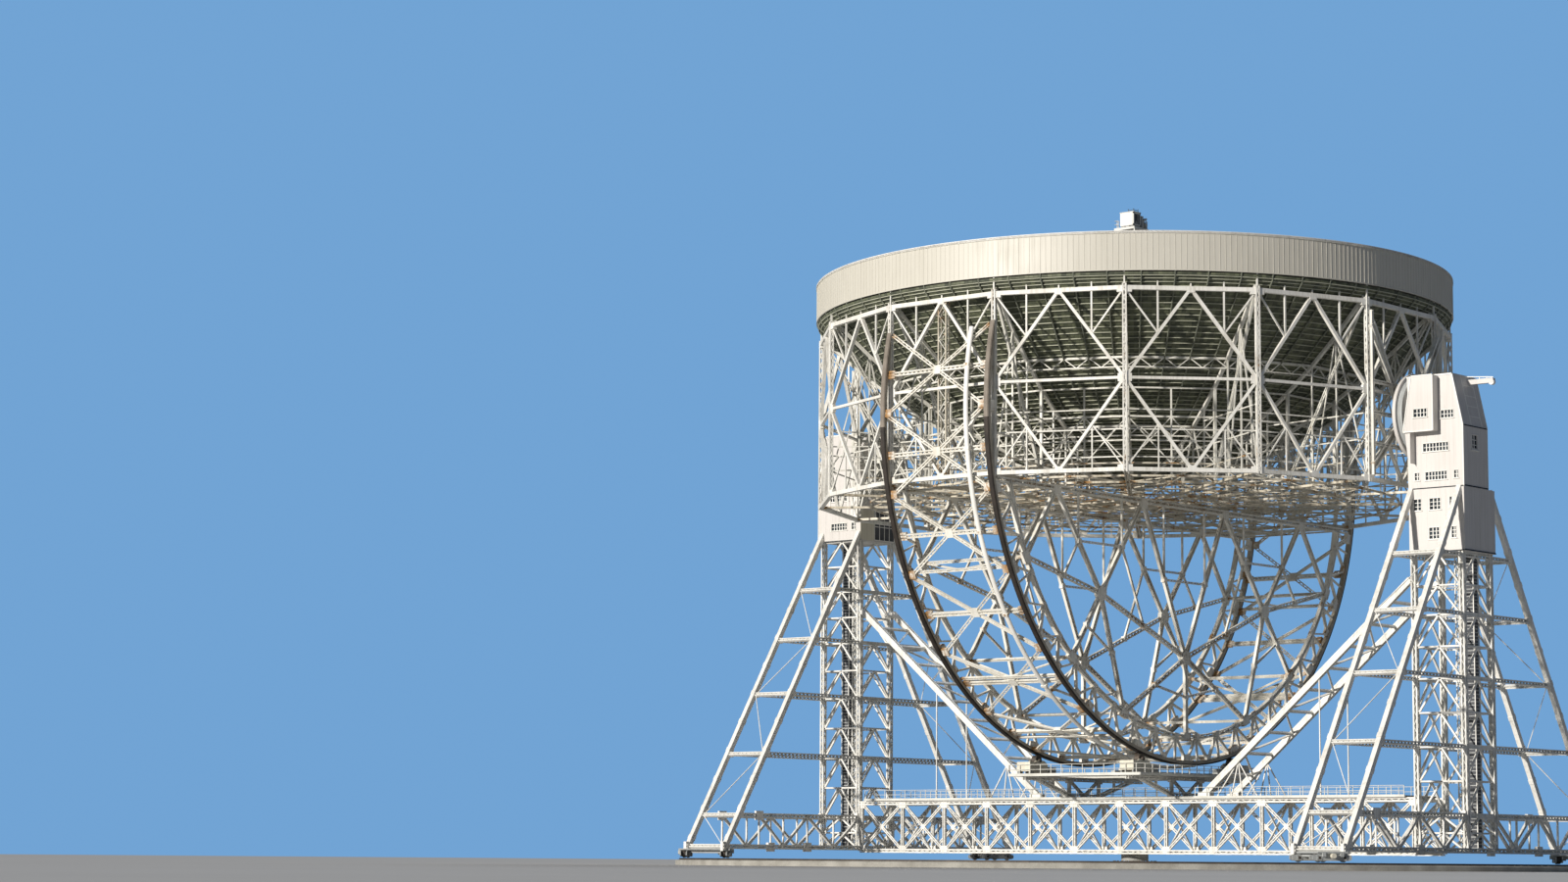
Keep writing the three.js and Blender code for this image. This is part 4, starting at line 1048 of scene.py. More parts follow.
def makeBayTrim():
    work = Steelwork()
    front, outline = pick(bay, "front outline")
    for x, y, z, wide, tall in bay["windows"]:
        addWindow(work, (x, y, z), alongX, wide, tall, (0, -1, 0))
    work.run([(x, front - 0.02, z) for x, z in outline + outline[:1]], 0.12, 0.08, alongY)
    work.box(*bay["jib"])
    work.bar(*bay["stay"], 0.09, 0.09, alongY)
    low, high = bay["pinZ"]
    for x in bay["pins"]:
        work.bar((x, 0, low), (x, 0, high), 0.06, 0.06, alongY)
    x, z, radius = bay["sheave"]
    work.drum((x, -0.22, z), (x, 0.22, z), radius, 28)
    work.make("bayTrim", "turntable", "cabin_paint", ["edgePaint", "darkGlass"])


for side, word in sides:
    makeStruts(word + "raking_struts", side)
    makeDrumCover(word + "drum_cover", side)
for node in cabins:
    makeCabinTrim(node)
    makeCabinSeams(node)
makeBayTrim()
print("cabins made")


# Turntable: roller platform

wheelX = 7.35
platform = {"x": 9.4, "y": 12.3, "top": 10.8, "deep": 0.2, "holeX": 5.2, "holeY": (1.2, 9), "joists": 31}
cradle = {"low": 8.503, "high": 10.397, "foot": 3.2, "head": 12, "post": 3, "arm": 9.5, "hanger": 6.2}
roller = {"radius": 0.6, "angle": 0.245, "reach": 39.15, "from": 8, "to": 10.9, "cheekTop": 12.1,
          "crest": 12.5, "bolts": 6, "boltPitch": 0.46}


def makePlatform():
    work, joists = Steelwork(), Fixings()
    x, y, top, holeX, (near, far), count = pick(platform, "x y top holeX holeY joists")
    low = top - platform["deep"]
    for a, b in ((-x, -holeX), (holeX, x)):
        work.box((a, -y, low + 0.08), (b, y, top))
    for a, b in ((-y, -far), (-near, near), (far, y)):
        work.box((-holeX, a, low + 0.08), (holeX, b, top))
    for s in both:
        work.box((s * x - 0.06, -y, low), (s * x + 0.06, y, top + 0.12), 1)
        work.box((-x, s * y - 0.06, low), (x, s * y + 0.06, top + 0.12), 1)
    work.make("roller_platform", "turntable", "grey_paint", ["grating", "lightPaint"])
    for i in range(count):
        place = (0, -y + 0.4 + i * (2 * y - 0.8) / (count - 1), low + 0.04)
        joists.add(place, (2 * x - 0.3, 0.1, 0.08), alongX)
    joists.make("platformJoists", "blocks", "lightPaint", "turntable", "grey_paint")
    path = [(i * (x - 0.1), j * (y - 0.1), top) for i, j in (*corners, corners[0])]
    railing("platformRailing", [path], "turntable", 1.15, 1.5, 0.08)


def makeCradle(node, side):
    work = Steelwork()
    low, high, foot, reach, post, arm, hanger = pick(cradle, "low high foot head post arm hanger")
    x = side * wheelX
    work.column((x, -foot, low), (x, foot, low), 0.5, 0.5, alongX, 0.6, 0.16)
    work.column((x, -reach, high), (x, reach, high), 0.4, 0.5, alongX, 0.6, 0.14)
    for s in both:
        work.laced((x, s * post, low), (x, s * arm, high), 0.5, 0.4, alongX, 0.6, True, 0.16)
        work.laced((x, s * post, low), (x, s * post, high), 0.36, 0.35, alongX, 0.5, False, 0.12)
        work.laced((x, s * post, high), (x, 0, low), 0.32, 0.3, alongX, 0.5, False, 0.1)
        work.bar((x, s * hanger, low + 0.98), (x, s * hanger, high), 0.2, 0.3, alongX)
        work.plate((x, s * post, high - 0.1), 1.0, 0.6, 0.46, alongX)
        work.plate((x, s * (arm - 0.2), high - 0.05), 1.2, 0.4, 0.46, alongX)
    work.make(node, "turntable", white, ["towerPaint"], "lightPaint")


def makeCarriages(node, side):
    work, bolts = Steelwork(), Fixings()
    near, far, cheekTop, crest = pick(roller, "from to cheekTop crest")
    x, low = side * wheelX, platform["top"] + 0.003
    work.box((x - 0.55, -far, low), (x + 0.55, far, low + 0.3))

    def block(s, half, y1, y2, z1, z2, paint, shift=0):
        y1, y2 = sorted((s * y1, s * y2))
        work.box((x + shift - half, y1, z1), (x + shift + half, y2, z2), paint)

    for s in both:
        a, b = sorted((s * near, s * far))
        middle = (a + b) / 2
        outline = ((a, low), (b, low), (b, cheekTop), (middle + 0.7, crest), (middle - 0.7, crest),
                   (a, cheekTop))
        for cheek in both:
            work.sheet([(x + cheek * 0.44, y, z) for y, z in outline], 0.2, alongX)
            for i in range(roller["bolts"]):
                place = (x + cheek * 0.56, a + 0.3 + i * roller["boltPitch"], low + 0.55)
                bolts.add(place, (0.1, 0.1, 0.06), alongY, (cheek, 0, 0))
        centre = onWheel(x, roller["reach"], s * roller["angle"])
        for half, size in ((0.33, roller["radius"]), (0.62, 0.22)):
            work.drum(centre - (half, 0, 0), centre + (half, 0, 0), size, 32, 1)
        block(s, 0.5, 6.3, 7.7, low + 0.3, low + 0.95, 2)
        block(s, 0.95, 11.15, 12.05, 11.2, 12.3, 0)
        for foot in (-0.8, 0.8):
            block(s, 0.08, 11.2, 12, low, 11.2, 2, foot)
    work.make(node, "turntable", "cream_paint", ["creamPaint", "railSteel", "machineGrey"])
    bolts.make(node + "_bolts", "bolts", "railSteel", "turntable", "steel")


makePlatform()
for side, word in sides:
    makeCradle(word + "cradle", side)
    makeCarriages(word + "roller_carriages", side)
print("roller platform made")


# Bowl: half wheels

# Spokes join the hubs 0 to 2, the web's top 3 to 6 and the chord 7 to 13. Halves join two spokes' middles.
wheel = {
    "tread": 38.5, "rim": 37.95, "worn": math.radians(88), "chord": 35.4, "web": 42.45, "steps": 150,
    "cutY": 37.29, "cutZ": 42.75, "webEnd": 36.6, "tops": (-25.5, -8.5, 8.5, 25.5), "arcs": 40, "cells": 44,
    "hubs": ((-17, 31.1), (0, 24.6), (17, 31.1)), "chordNodes": (-62.5, -40, -21, 0, 21, 40, 62.5),
    "spokes": ((7, 0), (0, 1), (1, 2), (2, 13), (3, 0), (0, 4), (4, 1), (1, 5), (5, 2), (2, 6), (7, 3),
               (13, 6), (0, 8), (2, 12), (0, 9), (2, 11), (1, 9), (1, 11), (1, 10)),
    "halves": ((4, 5), (6, 7), (8, 9), (0, 4), (3, 9), (12, 14), (13, 15), (16, 18), (17, 18), (1, 5),
               (2, 8)),
    "spoke": (0.54, 0.36, alongX, 0.7, False, 0.14), "half": (0.26, 0.22, alongX, 0.6, False, 0.08),
    "top": (0.6, 0.5, alongX, 0.8, 0.18),
}
bracing = {"corner": 38.2, "reach": wheelX - 0.3, "chords": (35.15, 37.9)}
tube = {"x": 4.7, "low": 38.453, "deep": 0.35, "wide": 0.6, "end": math.radians(103.5), "steps": 140,
        "sides": 14}
bends = [math.radians(v) for v in (0, 15.5, 31, 46.5, 62, 76.2, 90, 104)]
bays = [(s * a, s * b) for s in both for a, b in pairs(bends)]
chordAngles = [math.radians(v) for v in wheel["chordNodes"]]


def rimSkin(x, inner, outer, wide, start, end, count, cut=True):
    # the rim is cut square by the wall's outer face
    ring = ((-wide / 2, inner), (wide / 2, inner), (wide / 2, outer), (-wide / 2, outer))
    angles = np.linspace(start, end, count)
    sections = np.array([[onWheel(x + shift, radius, angle) for shift, radius in ring] for angle in angles])
    y = sections[:, :, 1]
    inside = (sections[:, :, 2] > wheel["cutZ"]) & (np.abs(y) < wheel["cutY"]) & cut
    sections[:, :, 1] = np.where(inside, np.sign(y) * wheel["cutY"], y)
    return sections


def makeWheel(node, side):
    work, bolts = Steelwork(), Fixings()
    tread, rim, worn, chord, web, count = pick(wheel, "tread rim worn chord web steps")
    x = side * wheelX
    end = math.pi - math.asin(wheel["cutY"] / tread)  # where the rim meets the wall above its bottom ring
    work.skin(rimSkin(x, rim, tread - 0.16, 0.58, -end, end, count), False, 3)
    for start, finish, paint in ((-end, -worn, 1), (-worn, worn, 2), (worn, end, 1)):
        for low, high, wide in ((tread - 0.18, tread - 0.06, 0.64), (tread - 0.08, tread, 0.5)):
            work.skin(rimSkin(x, low, high, wide, start, finish, count), False, paint)
    end = math.acos((axisHeight - web) / chord)
    for low, high in ((chord - 0.5, chord - 0.36), (chord - 0.14, chord)):
        work.skin(rimSkin(x, low, high, 0.5, -end, end, 60, False))
    arcs, cells = (np.linspace(-end, end, wheel[key] + 1) for key in ("arcs", "cells"))
    for a, b in pairs(arcs):
        start, finish = (onWheel(x, chord - 0.25, angle) for angle in (a, b))
        work.lace(start, finish, away((a + b) / 2) * -0.12, 0.5, 0.08)
    for i, (a, b) in enumerate(pairs(cells)):
        odd, radii = i % 2, (rim + 0.1, chord - 0.2)
        work.bar(onWheel(x, radii[odd], a), onWheel(x, radii[1 - odd], b), 0.2, 0.36, alongX)
        if odd:
            work.bar(onWheel(x, chord - 0.1, a), onWheel(x, rim + 0.1, a), 0.14, 0.3, alongX)
        work.plate(onWheel(x, (chord if odd else rim) - 0.3, a), 0.8, 0.6, 0.42, alongX, away(a))
    hubs = [point(x, y, z) for y, z in wheel["hubs"]]
    tops = [point(x, y, web) for y in wheel["tops"]]
    nodes = [onWheel(x, chord - 0.25, angle) for angle in chordAngles]
    spots = [*hubs, *tops, *nodes]
    spokes = [(spots[a], spots[b]) for a, b in wheel["spokes"]]
    for start, finish in spokes:
        work.laced(start, finish, *wheel["spoke"])
        work.lace(start, finish, unit(np.cross(finish - start, alongX)) * -0.19, 0.7, 0.07)
    work.column((x, -wheel["webEnd"], web), (x, wheel["webEnd"], web), *wheel["top"])
    # thin bars that halve the long spokes
    middles = [between(*spoke, 0.5) for spoke in spokes]
    for a, b in wheel["halves"]:
        work.laced(middles[a], middles[b], *wheel["half"])
    for n in sorted({n for half in wheel["halves"] for n in half}):
        work.plate(middles[n], 0.6, 0.6, 0.5, alongX)
    for middle in middles[4:10]:
        work.bar(middle, (x, middle[1], web), 0.16, 0.24, alongX)
    for hub in hubs:
        outline = [hub + (0, 0.9 * math.cos(a + 0.2), 0.85 * math.sin(a + 0.2)) for a in around(8)]
        work.sheet(outline, 0.54, alongX)
    for place, angle in zip(nodes, chordAngles):
        work.plate(place, 1.4, 1.0, 0.54, alongX, away(angle))
    for place in tops:
        work.plate(place - (0, 0, 0.35), 1.3, 0.9, 0.54, alongX)
    for angle in [s * a for s in both for a in bends[1:-1]] + [0]:
        work.plate(onWheel(x, rim - 0.35, angle), 1.2, 0.8, 0.5, alongX, away(angle))
    work.make(node, "bowl", white, ["wheelPaint", "rimPaint", "treadSteel", "rimSide"])
    for centre, spread in [(hub, 0.7) for hub in hubs] + [(place, 0.55) for place in nodes]:
        for a in around(10):
            for face in both:
                place = centre + (face * 0.28, spread * math.cos(a), 0.45 * spread * math.sin(a))
                bolts.add(place, (0.09, 0.09, 0.05), alongY, (face, 0, 0))
    bolts.make(node + "_bolts", "bolts", "wheelPaint", "bowl", white)


def makeBracing():
    work = Steelwork()
    corner, reach, (inner, outer) = pick(bracing, "corner reach chords")
    for first, last in bays:
        phi, radius = (first + last) / 2, corner * math.cos((last - first) / 2)
        outward, across = away(phi), away(phi + math.pi / 2)
        ends = (onWheel(x, radius, phi) for x in (-reach, reach))
        work.laced(*ends, 0.5, 0.34, outward, 0.6, True, 0.15)
        for way, deep in ((-1, 0.2), (1, 0.26)):
            x = way * (reach - 0.15)
            start, end = onWheel(x, corner, first), onWheel(-x, corner, last)
            work.laced(start, end, 0.42, deep, outward, 0.7, False, 0.13)
            work.plate(between(start, end, 0.02), 0.9, 0.9, 0.3, outward, across)
        work.plate(onWheel(0, radius, phi), 1.0, 1.0, 0.4, outward, across)
        for way in both:
            work.plate(onWheel(way * (reach - 0.5), radius, phi), 0.9, 0.9, 0.34, outward, across)
        work.bar(onWheel(tube["x"], radius, phi), onWheel(tube["x"], tube["low"], phi), 0.3, 0.4, alongX)
    # cross frames between the two inner chords
    for a in chordAngles:
        for radius in (inner, outer):
            ends = (onWheel(x, radius, a) for x in (-reach, reach))
            work.laced(*ends, 0.34, 0.24, away(a), 0.6, False, 0.1)
        for x in (-reach, reach):
            work.bar(onWheel(x, inner, a), onWheel(0, outer, a), 0.2, 0.16, away(a + math.pi / 2))
    work.make("wheel_bracing", "bowl", white, ["bracingPaint"])


def makeTube():
    work, clamps = Steelwork(), Fixings()
    x, low, deep, wide, end, steps, facets = pick(tube, "x low deep wide end steps sides")
    deep, wide = deep / 2 + 0.02, wide / 2
    radius = low + deep
    ring = [(x + wide * math.cos(a), radius + deep * math.sin(a)) for a in around(facets)]
    work.skin([[onWheel(*place, angle) for place in ring] for angle in np.linspace(-end, end, steps)])
    work.make("wheel_tube", "bowl", white, ["edgePaint"])
    for first, last in bays:
        phi = (first + last) / 2
        clamps.add(onWheel(x, radius, phi), (0.3, 0.72, 0.46), away(phi + math.pi / 2), away(phi))
    clamps.make("tubeClamps", "blocks", "wheelPaint", "bowl", white)


for side, word in sides:
    makeWheel(word + "wheel", side)
makeBracing()
makeTube()
print("half wheels made")


# Bowl: dish surfaces and rim band

dish = {"rim": 38.1, "edge": 37.847, "membrane": (46.3, 18.7), "reflector": (53.4, 15.8),
        "bandTop": 69.3, "bandLow": 64.9, "rings": 26, "sides": 144, "ribs": 64, "seams": 48,
        "bandSides": 192, "bandSeams": 384, "purlins": (2.4, 36, 0.64),
        "outerPurlins": (36.35, 36.75, 37.15, 37.5, 37.8), "ribStarts": (20, 4, 20, 11), "ribEnd": 37.7}


def dishZ(radius, surface="membrane"):
    vertex, rise = dish[surface]
    return vertex + rise * (radius / dish["rim"]) ** 2


def makeDish(surface, thick, paint, slot):
    work = Steelwork()
    radii = [0.05] + [dish["edge"] * math.sqrt(i / dish["rings"]) for i in range(1, dish["rings"] + 1)]
    upper, lower = ([(r, dishZ(r, surface) - drop) for r in radii] for drop in (0, thick))
    work.turned(lower + upper[::-1], dish["sides"])
    work.make(surface, "bowl", slot, [paint], None, surface + "Sheets")


def makeMembraneRibs():
    circles, ribs = [], []
    for radius in (*np.arange(*dish["purlins"]), *dish["outerPurlins"]):
        count = max(16, min(96, int(radius * 3)))
        circles.append([polar(radius, angle, dishZ(radius) - 0.32) for angle in around(count)])
    rods("membranePurlins", circles, 0.09, "purlinPaint", "bowl", "green_paint", True)
    for k in range(dish["ribs"]):
        angle = (k + 0.5) * turn / dish["ribs"]
        start = dish["ribStarts"][k % 4]
        path = [polar(r, angle, dishZ(r) - 0.42) for r in np.linspace(start, dish["ribEnd"], 16)]
        ribs.append([*path, polar(37.95, angle, dish["bandLow"] + 0.1)])
    # the ribs take a dark paint that stands for the shade on them (painted shade)
    rods("membraneRibs", ribs, 0.15, "ribPaint", "bowl", "green_paint")


def makeReflectorRibs():
    seams = []
    for k, angle in enumerate(around(dish["seams"])):
        radii = np.linspace(3 if k % 2 else 12, dish["ribEnd"], 20)
        seams.append([polar(r, angle, dishZ(r, "reflector")) for r in radii])
    rods("reflectorSeams", seams, 0.07, "reflectorGrey", "bowl", "reflector_paint")


def makeBand():
    work, seams = Steelwork(), Fixings()
    rim, top, low, count = pick(dish, "rim bandTop bandLow bandSides")
    profiles = (  # how far inside the rim, height, and which paint
        ([(0.25, low), (0.08, low), (0.08, top), (0.25, top)], 0),
        ([(0.5, top - 0.06), (0, top - 0.06), (0, top - 0.3), (0, top), (0.5, top)], 1),
        ([(0.3, low - 0.02), (0.04, low - 0.02), (0.04, low + 0.1), (0.3, low + 0.1)], 0),
    )
    for profile, paint in profiles:
        work.turned([(rim - inside, z) for inside, z in profile], count, paint)
    work.make("rim_band", "bowl", "cream_paint", ["bandPaint", "edgePaint"])
    middle = (top + low) / 2
    seam, stiffener = (top - low - 0.35, 0.045, 0.03), (2.2, 0.14, 0.3)
    for number, inside, z, size in ((dish["bandSeams"], 0.07, middle - 0.1, seam),
                                    (dish["seams"], 0.3, middle + 1, stiffener)):
        for angle in around(number):
            seams.add(polar(rim - inside, angle, z), size, up, polar(1, angle))
    seams.make("bandSeams", "blocks", "bandPaint", "bowl", "cream_paint")


makeDish("membrane", 0.25, "membraneGreen", "green_paint")
makeDish("reflector", 0.2, "reflectorGrey", "reflector_paint")
makeMembraneRibs()
makeReflectorRibs()
makeBand()
print("dish made")


# Bowl: lattice wall, trusses, floor lattice and trunnions

wall = {"bays": 16, "radius": 37.64, "postRadius": 37.7, "postWide": 0.5, "postDeep": 0.48, "corner": 0.15,
        "top": 63.06, "mid": 53.13, "low": 43.06, "postLow": 42.76, "postTop": 63.5}
truss = {"radii": (2.4, 5.5, 9, 12.5, 15.7, 19, 22.3, 25.5, 29.3, 33, 37.4), "low": 43.4, "ring": 25.5,
         "posts": (4, 5, 6, 8, 9), "diagonals": (4, 5, 8, 9), "struts": ((19, 47.6), (22.3, 50.5)),
         "levels": ((50.5, 0.2), (47.8, 0.14), (45.2, 0.2)), "cells": ((29.3, 8), (19, 6)),
         "rings": ((19, 45.2), (19, 47.6), (31.5, 45.2), (31.5, 50.5), (36.7, 47.6)), "cross": (45.2, 50.5)}
lattice = {"low": 43.06, "high": 45.2, "hung": 42.3, "spokes": 32, "bays": 9, "end": 34,
           "rings": ((6, 0.12), (8, 0.2), (10.2, 0.12), (12.5, 0.26), (15.7, 0.12), (19, 0.16), (22.3, 0.1),
                     (25.5, 0.3), (31.5, 0.26)),
           "ladders": (8, 12.5, 19, 25.5, 31.5), "upperRings": (12.5, 25.5), "columnY": 36.6,
           "column": (43.4, 62.9), "hub": [(0.05, 42.76), (3, 42.76), (3, 43.36), (0.05, 43.36)]}
trunnion = {"shaft": 1.1, "hub": 2.4, "near": 37.296, "plate": 37.8, "end": 40.4, "bolts": 20,
            "boltRing": 2, "postY": 7.3, "post": (43.5, 62), "arms": (60.5, 44.5), "levels": (47, 50.5, 54)}


def postAngle(k):
    return (k + 0.5) * turn / wall["bays"]


def inBay(k, radius, share, height):  # a share of the way from one post to the next
    return between(polar(radius, postAngle(k), height), polar(radius, postAngle(k + 1), height), share)


def makeWallQuarter(node, first):
    work = Steelwork()
    top, mid, low, wide, deep, corner, outer = pick(wall, "top mid low postWide postDeep corner postRadius")
    for k in range(first, first + 4):
        a = postAngle(k)
        radial, across = polar(1, a), tangent(a)
        foot, head = (polar(outer, a, wall[end]) for end in ("postLow", "postTop"))
        for i, j in corners:
            shift = across * i * (wide - corner) / 2 + radial * j * (deep - corner) / 2
            work.bar(foot + shift, head + shift, corner, corner, radial)
            side, face = across * i * (wide / 2 - 0.05), radial * i * (deep / 2 - 0.05)
            work.lace(foot + side, head + side, radial * j * (deep - 0.2) / 2, 1.2, 0.07)
            work.lace(foot + face, head + face, across * j * (wide - 0.2) / 2, 1.0, 0.09)
        facing = polar(1, (k + 1) * turn / wall["bays"])

        def bar(start, end, *size):
            work.bar(inBay(k, wall["radius"], *start), inBay(k, wall["radius"], *end), *size, facing)

        def plate(share, z, *size):
            work.plate(inBay(k, wall["radius"], share, z), *size, facing)

        for z, wideness, depth in ((top, 0.46, 0.5), (mid, 0.3, 0.36), (low, 0.44, 0.5)):
            bar((0, z), (1, z), wideness, depth)
        for end, way in ((0, 1), (1, -1)):
            quarter = end + way * 0.25
            bar((0.5, top), (end, mid), 0.33, 0.4)
            bar((0.5, low), (end, mid), 0.3, 0.38)
            for level, size in ((top, 0.18), (low, 0.14)):
                meet = (quarter, (level + mid) / 2)
                bar((quarter, level), meet, size, size)
                bar((end, level), meet, size, size * 0.9)
            bar((quarter, dish["bandLow"]), (quarter, top), 0.14, 0.16)
            plate(end + way * 0.03, mid, 0.6, 0.9, 0.42)
            for z in (top - 0.2, low + 0.2):
                plate(end + way * 0.03, z, 0.7, 0.6, 0.52)
        bar((0.5, dish["bandLow"]), (0.5, top), 0.16, 0.18)
        for z in (top - 0.2, low + 0.2):
            plate(0.5, z, 0.9, 0.55, 0.52)
        work.bar(head, polar(outer, a, dish["bandLow"]), 0.16, 0.2, radial)
    work.make(node, "bowl", white, ["wallPaint"])


def makeTrussQuarter(node, first):
    work = Steelwork()
    radii, low, ring = pick(truss, "radii low ring")
    high = dishZ(ring) - 0.9
    for k in range(first, first + 4):
        a = postAngle(k)
        facing = tangent(a)
        top, foot = [polar(r, a, dishZ(r) - 0.72) for r in radii], [polar(r, a, low) for r in radii]
        work.run(top, 0.34, 0.4, facing)
        knee = foot[7] + up * 0.3
        for start, end in ((top[3], knee), (knee, polar(radii[-1], a, dishZ(radii[-1]) - 0.9))):
            work.laced(start, end, 0.42, 0.28, facing, 0.9, True, 0.12)
        work.laced(foot[7], top[7], 0.35, 0.3, facing, 0.8, True, 0.1)
        for i in truss["posts"]:
            work.bar(top[i], foot[i], 0.16, 0.18, facing)
        for i in truss["diagonals"]:
            start, end = (top[i], foot[i + 1]) if i % 2 else (foot[i], top[i + 1])
            work.bar(start, end, 0.14, 0.15, facing)
        for r, z in truss["struts"]:
            work.bar(polar(r, a, z), polar(37.5, a, z), 0.14, 0.16, facing)
        facing = polar(1, (k + 1) * turn / wall["bays"])

        def bar(share1, z1, share2, z2, size, radius=ring):
            work.bar(inBay(k, radius, share1, z1), inBay(k, radius, share2, z2), size, size, facing)

        for z, size in ((high, 0.18), *truss["levels"]):
            bar(0, z, 1, z, size)
        for radius, cells in truss["cells"]:
            levels = dishZ(radius) - 1.8, dishZ(radius) - 0.7
            bar(0, levels[1], 1, levels[1], 0.24, radius)
            bar(0, levels[0], 1, levels[0], 0.15, radius)
            for n in range(cells):
                bar(n / cells, levels[n % 2], (n + 1) / cells, levels[1 - n % 2], 0.11, radius)
        for share in (0, 0.5):
            bar(share, low, share, high, 0.18)
            for z1, z2 in (truss["cross"], truss["cross"][::-1]):
                bar(share, z1, share + 0.5, z2, 0.12)
        for radius, z in truss["rings"]:
            bar(0, z, 1, z, 0.14, radius)
    work.make(node, "bowl", white, ["trussPaint"])


def makeFloor():
    work = Steelwork()
    low, high, hung, count, bayCount, reach, rings = pick(lattice, "low high hung spokes bays end rings")
    for k in range(count):
        a, b = k * turn / count, (k + 1) * turn / count
        facing = tangent(a)
        if k % 2:
            work.laced(polar(3, a, low), polar(37.5, a, low), 0.46, 0.26, up, 0.9, False, 0.13)
            work.bar(polar(6, a, high), polar(34, a, high), 0.12, 0.12, up)
        else:
            work.bar(polar(12.5, a, low), polar(31.5, a, low), 0.13, 0.14, up)
        for r, size in rings:
            work.bar(polar(r, a, low), polar(r, b, low), size, size * 0.8, up)
        for r in lattice["upperRings"]:
            work.bar(polar(r, a, high), polar(r, b, high), 0.12, 0.12, up)
        for r1, r2 in pairs(lattice["ladders"]):
            start, end = (r1, r2) if k % 2 else (r2, r1)
            work.bar(polar(start, a, low), polar(end, b, low), 0.11, 0.1, up)
            if k % 2:
                work.bar(polar(r1, a, low), polar(r1, a, high), 0.1, 0.12, facing)
                work.bar(polar(r1, a, high), polar(r2, a, low), 0.1, 0.1, facing)
    # the lower layer over the wheels, which hangs a little under the floor
    for x in (-wheelX, 0, wheelX):
        work.bar((x, -reach, hung), (x, reach, hung), 0.2, 0.26, alongX)
    step = 2 * reach / bayCount
    for i in range(bayCount + 1):
        y = -reach + i * step
        work.bar((-wheelX, y, hung), (wheelX, y, hung), 0.18, 0.18, up)
        if i < bayCount:
            for s in both:
                work.bar((s * wheelX, y, hung), (0, y + step, hung), 0.12, 0.12, up)
    for s in both:
        foot, top = ((0, s * lattice["columnY"], z) for z in lattice["column"])
        work.column(foot, top, 1.2, 0.7, (0, s, 0), 1.3, 0.14)
    work.turned(lattice["hub"], 48)
    work.make("floor_lattice", "bowl", white, ["floorPaint"], "trussPaint")


def makeTrunnion(node, side):
    work, bolts = Steelwork(), Fixings()
    near, plate, end = (side * trunnion[key] for key in ("near", "plate", "end"))
    middle, deep = (near + plate) / 2, abs(plate - near)
    for key, start, finish, count, paint in (("hub", near, plate, 72, 0), ("shaft", plate, end, 48, 1)):
        radius = trunnion[key]
        work.turned([(0.05, start), (radius, start), (radius, finish), (0.05, finish)], count, paint, True)
    for y in (-trunnion["postY"], trunnion["postY"]):
        s = math.copysign(1, y)
        for z in trunnion["arms"]:
            work.laced((middle, s, axisHeight), (middle, y, z), 0.9, deep, alongX, 0.8, True, 0.24)
        foot, top = ((middle, y, z) for z in trunnion["post"])
        work.laced(foot, top, 0.38, 0.3, alongX, 0.8, True, 0.11)
    for z in trunnion["levels"]:
        ends = ((middle, s * trunnion["postY"], z) for s in both)
        work.laced(*ends, 0.4, deep * 0.8, alongX, 0.7, False, 0.13)
    work.make(node, "bowl", "grey_paint", ["trussPaint", "railSteel"])
    for angle in around(trunnion["bolts"]):
        place = onWheel(plate + side * 0.04, trunnion["boltRing"], angle)
        bolts.add(place, (0.16, 0.16, 0.1), alongY, (side, 0, 0))
    bolts.make(node + "_bolts", "bolts", "railSteel", "bowl", "steel")


for makeQuarter, kind in ((makeWallQuarter, "wall_"), (makeTrussQuarter, "trusses_")):
    for i, word in enumerate(quarters):
        makeQuarter(kind + word, i * 4)
print("wall and trusses made")
makeFloor()
for side, word in sides:
    makeTrunnion(word + "trunnion", side)
print("bowl steelwork made")


# Bowl: focus tower and its head

mast = {"half": 1.3, "low": 53.5, "top": 75.9, "levels": 14, "rungs": 52, "rungFrom": 54.4,
        "rungPitch": 0.41, "ladder": 0.3,
        "base": [(0.05, 53.6), (2.4, 53.62), (2.4, 54.0), (1.9, 54.2), (0.05, 54.2)]}
head = {  # machines: two corners, from which height to which, paint; drums: place, radius, paint
    "half": 1.48, "slab": 76.8, "base": 77.02, "roof": 78.7, "top": 79.1, "low": (-0.78, -1.2),
    "high": (1.2, 0.26),
    "machines": [(-0.7, -1.1, -0.2, 0.1, 76.8, 77.02, 3), (0.0, -1.15, 0.5, 0.0, 76.8, 77.02, 3),
                 (0.7, -1.1, 1.1, 0.1, 76.8, 77.02, 2), (0.35, 0.34, 1.22, 0.78, 76.8, 78.3, 4),
                 (-0.6, 0.4, 0.2, 1.0, 76.8, 77.7, 3), (0.95, 0.86, 1.4, 1.36, 76.8, 77.5, 3),
                 (0.3, 0.9, 0.8, 1.36, 76.8, 77.9, 4)],
    "drums": [(1.3, 1.2, 78.0, 0.12, 1), (1.22, 0.95, 77.95, 0.13, 4), (-0.9, -0.3, 77.15, 0.16, 4),
              (-1.1, 0.5, 77.1, 0.14, 3)],
    "rods": ((0.2, -0.9), (1.0, -0.9), (1.0, 0.0)),
}


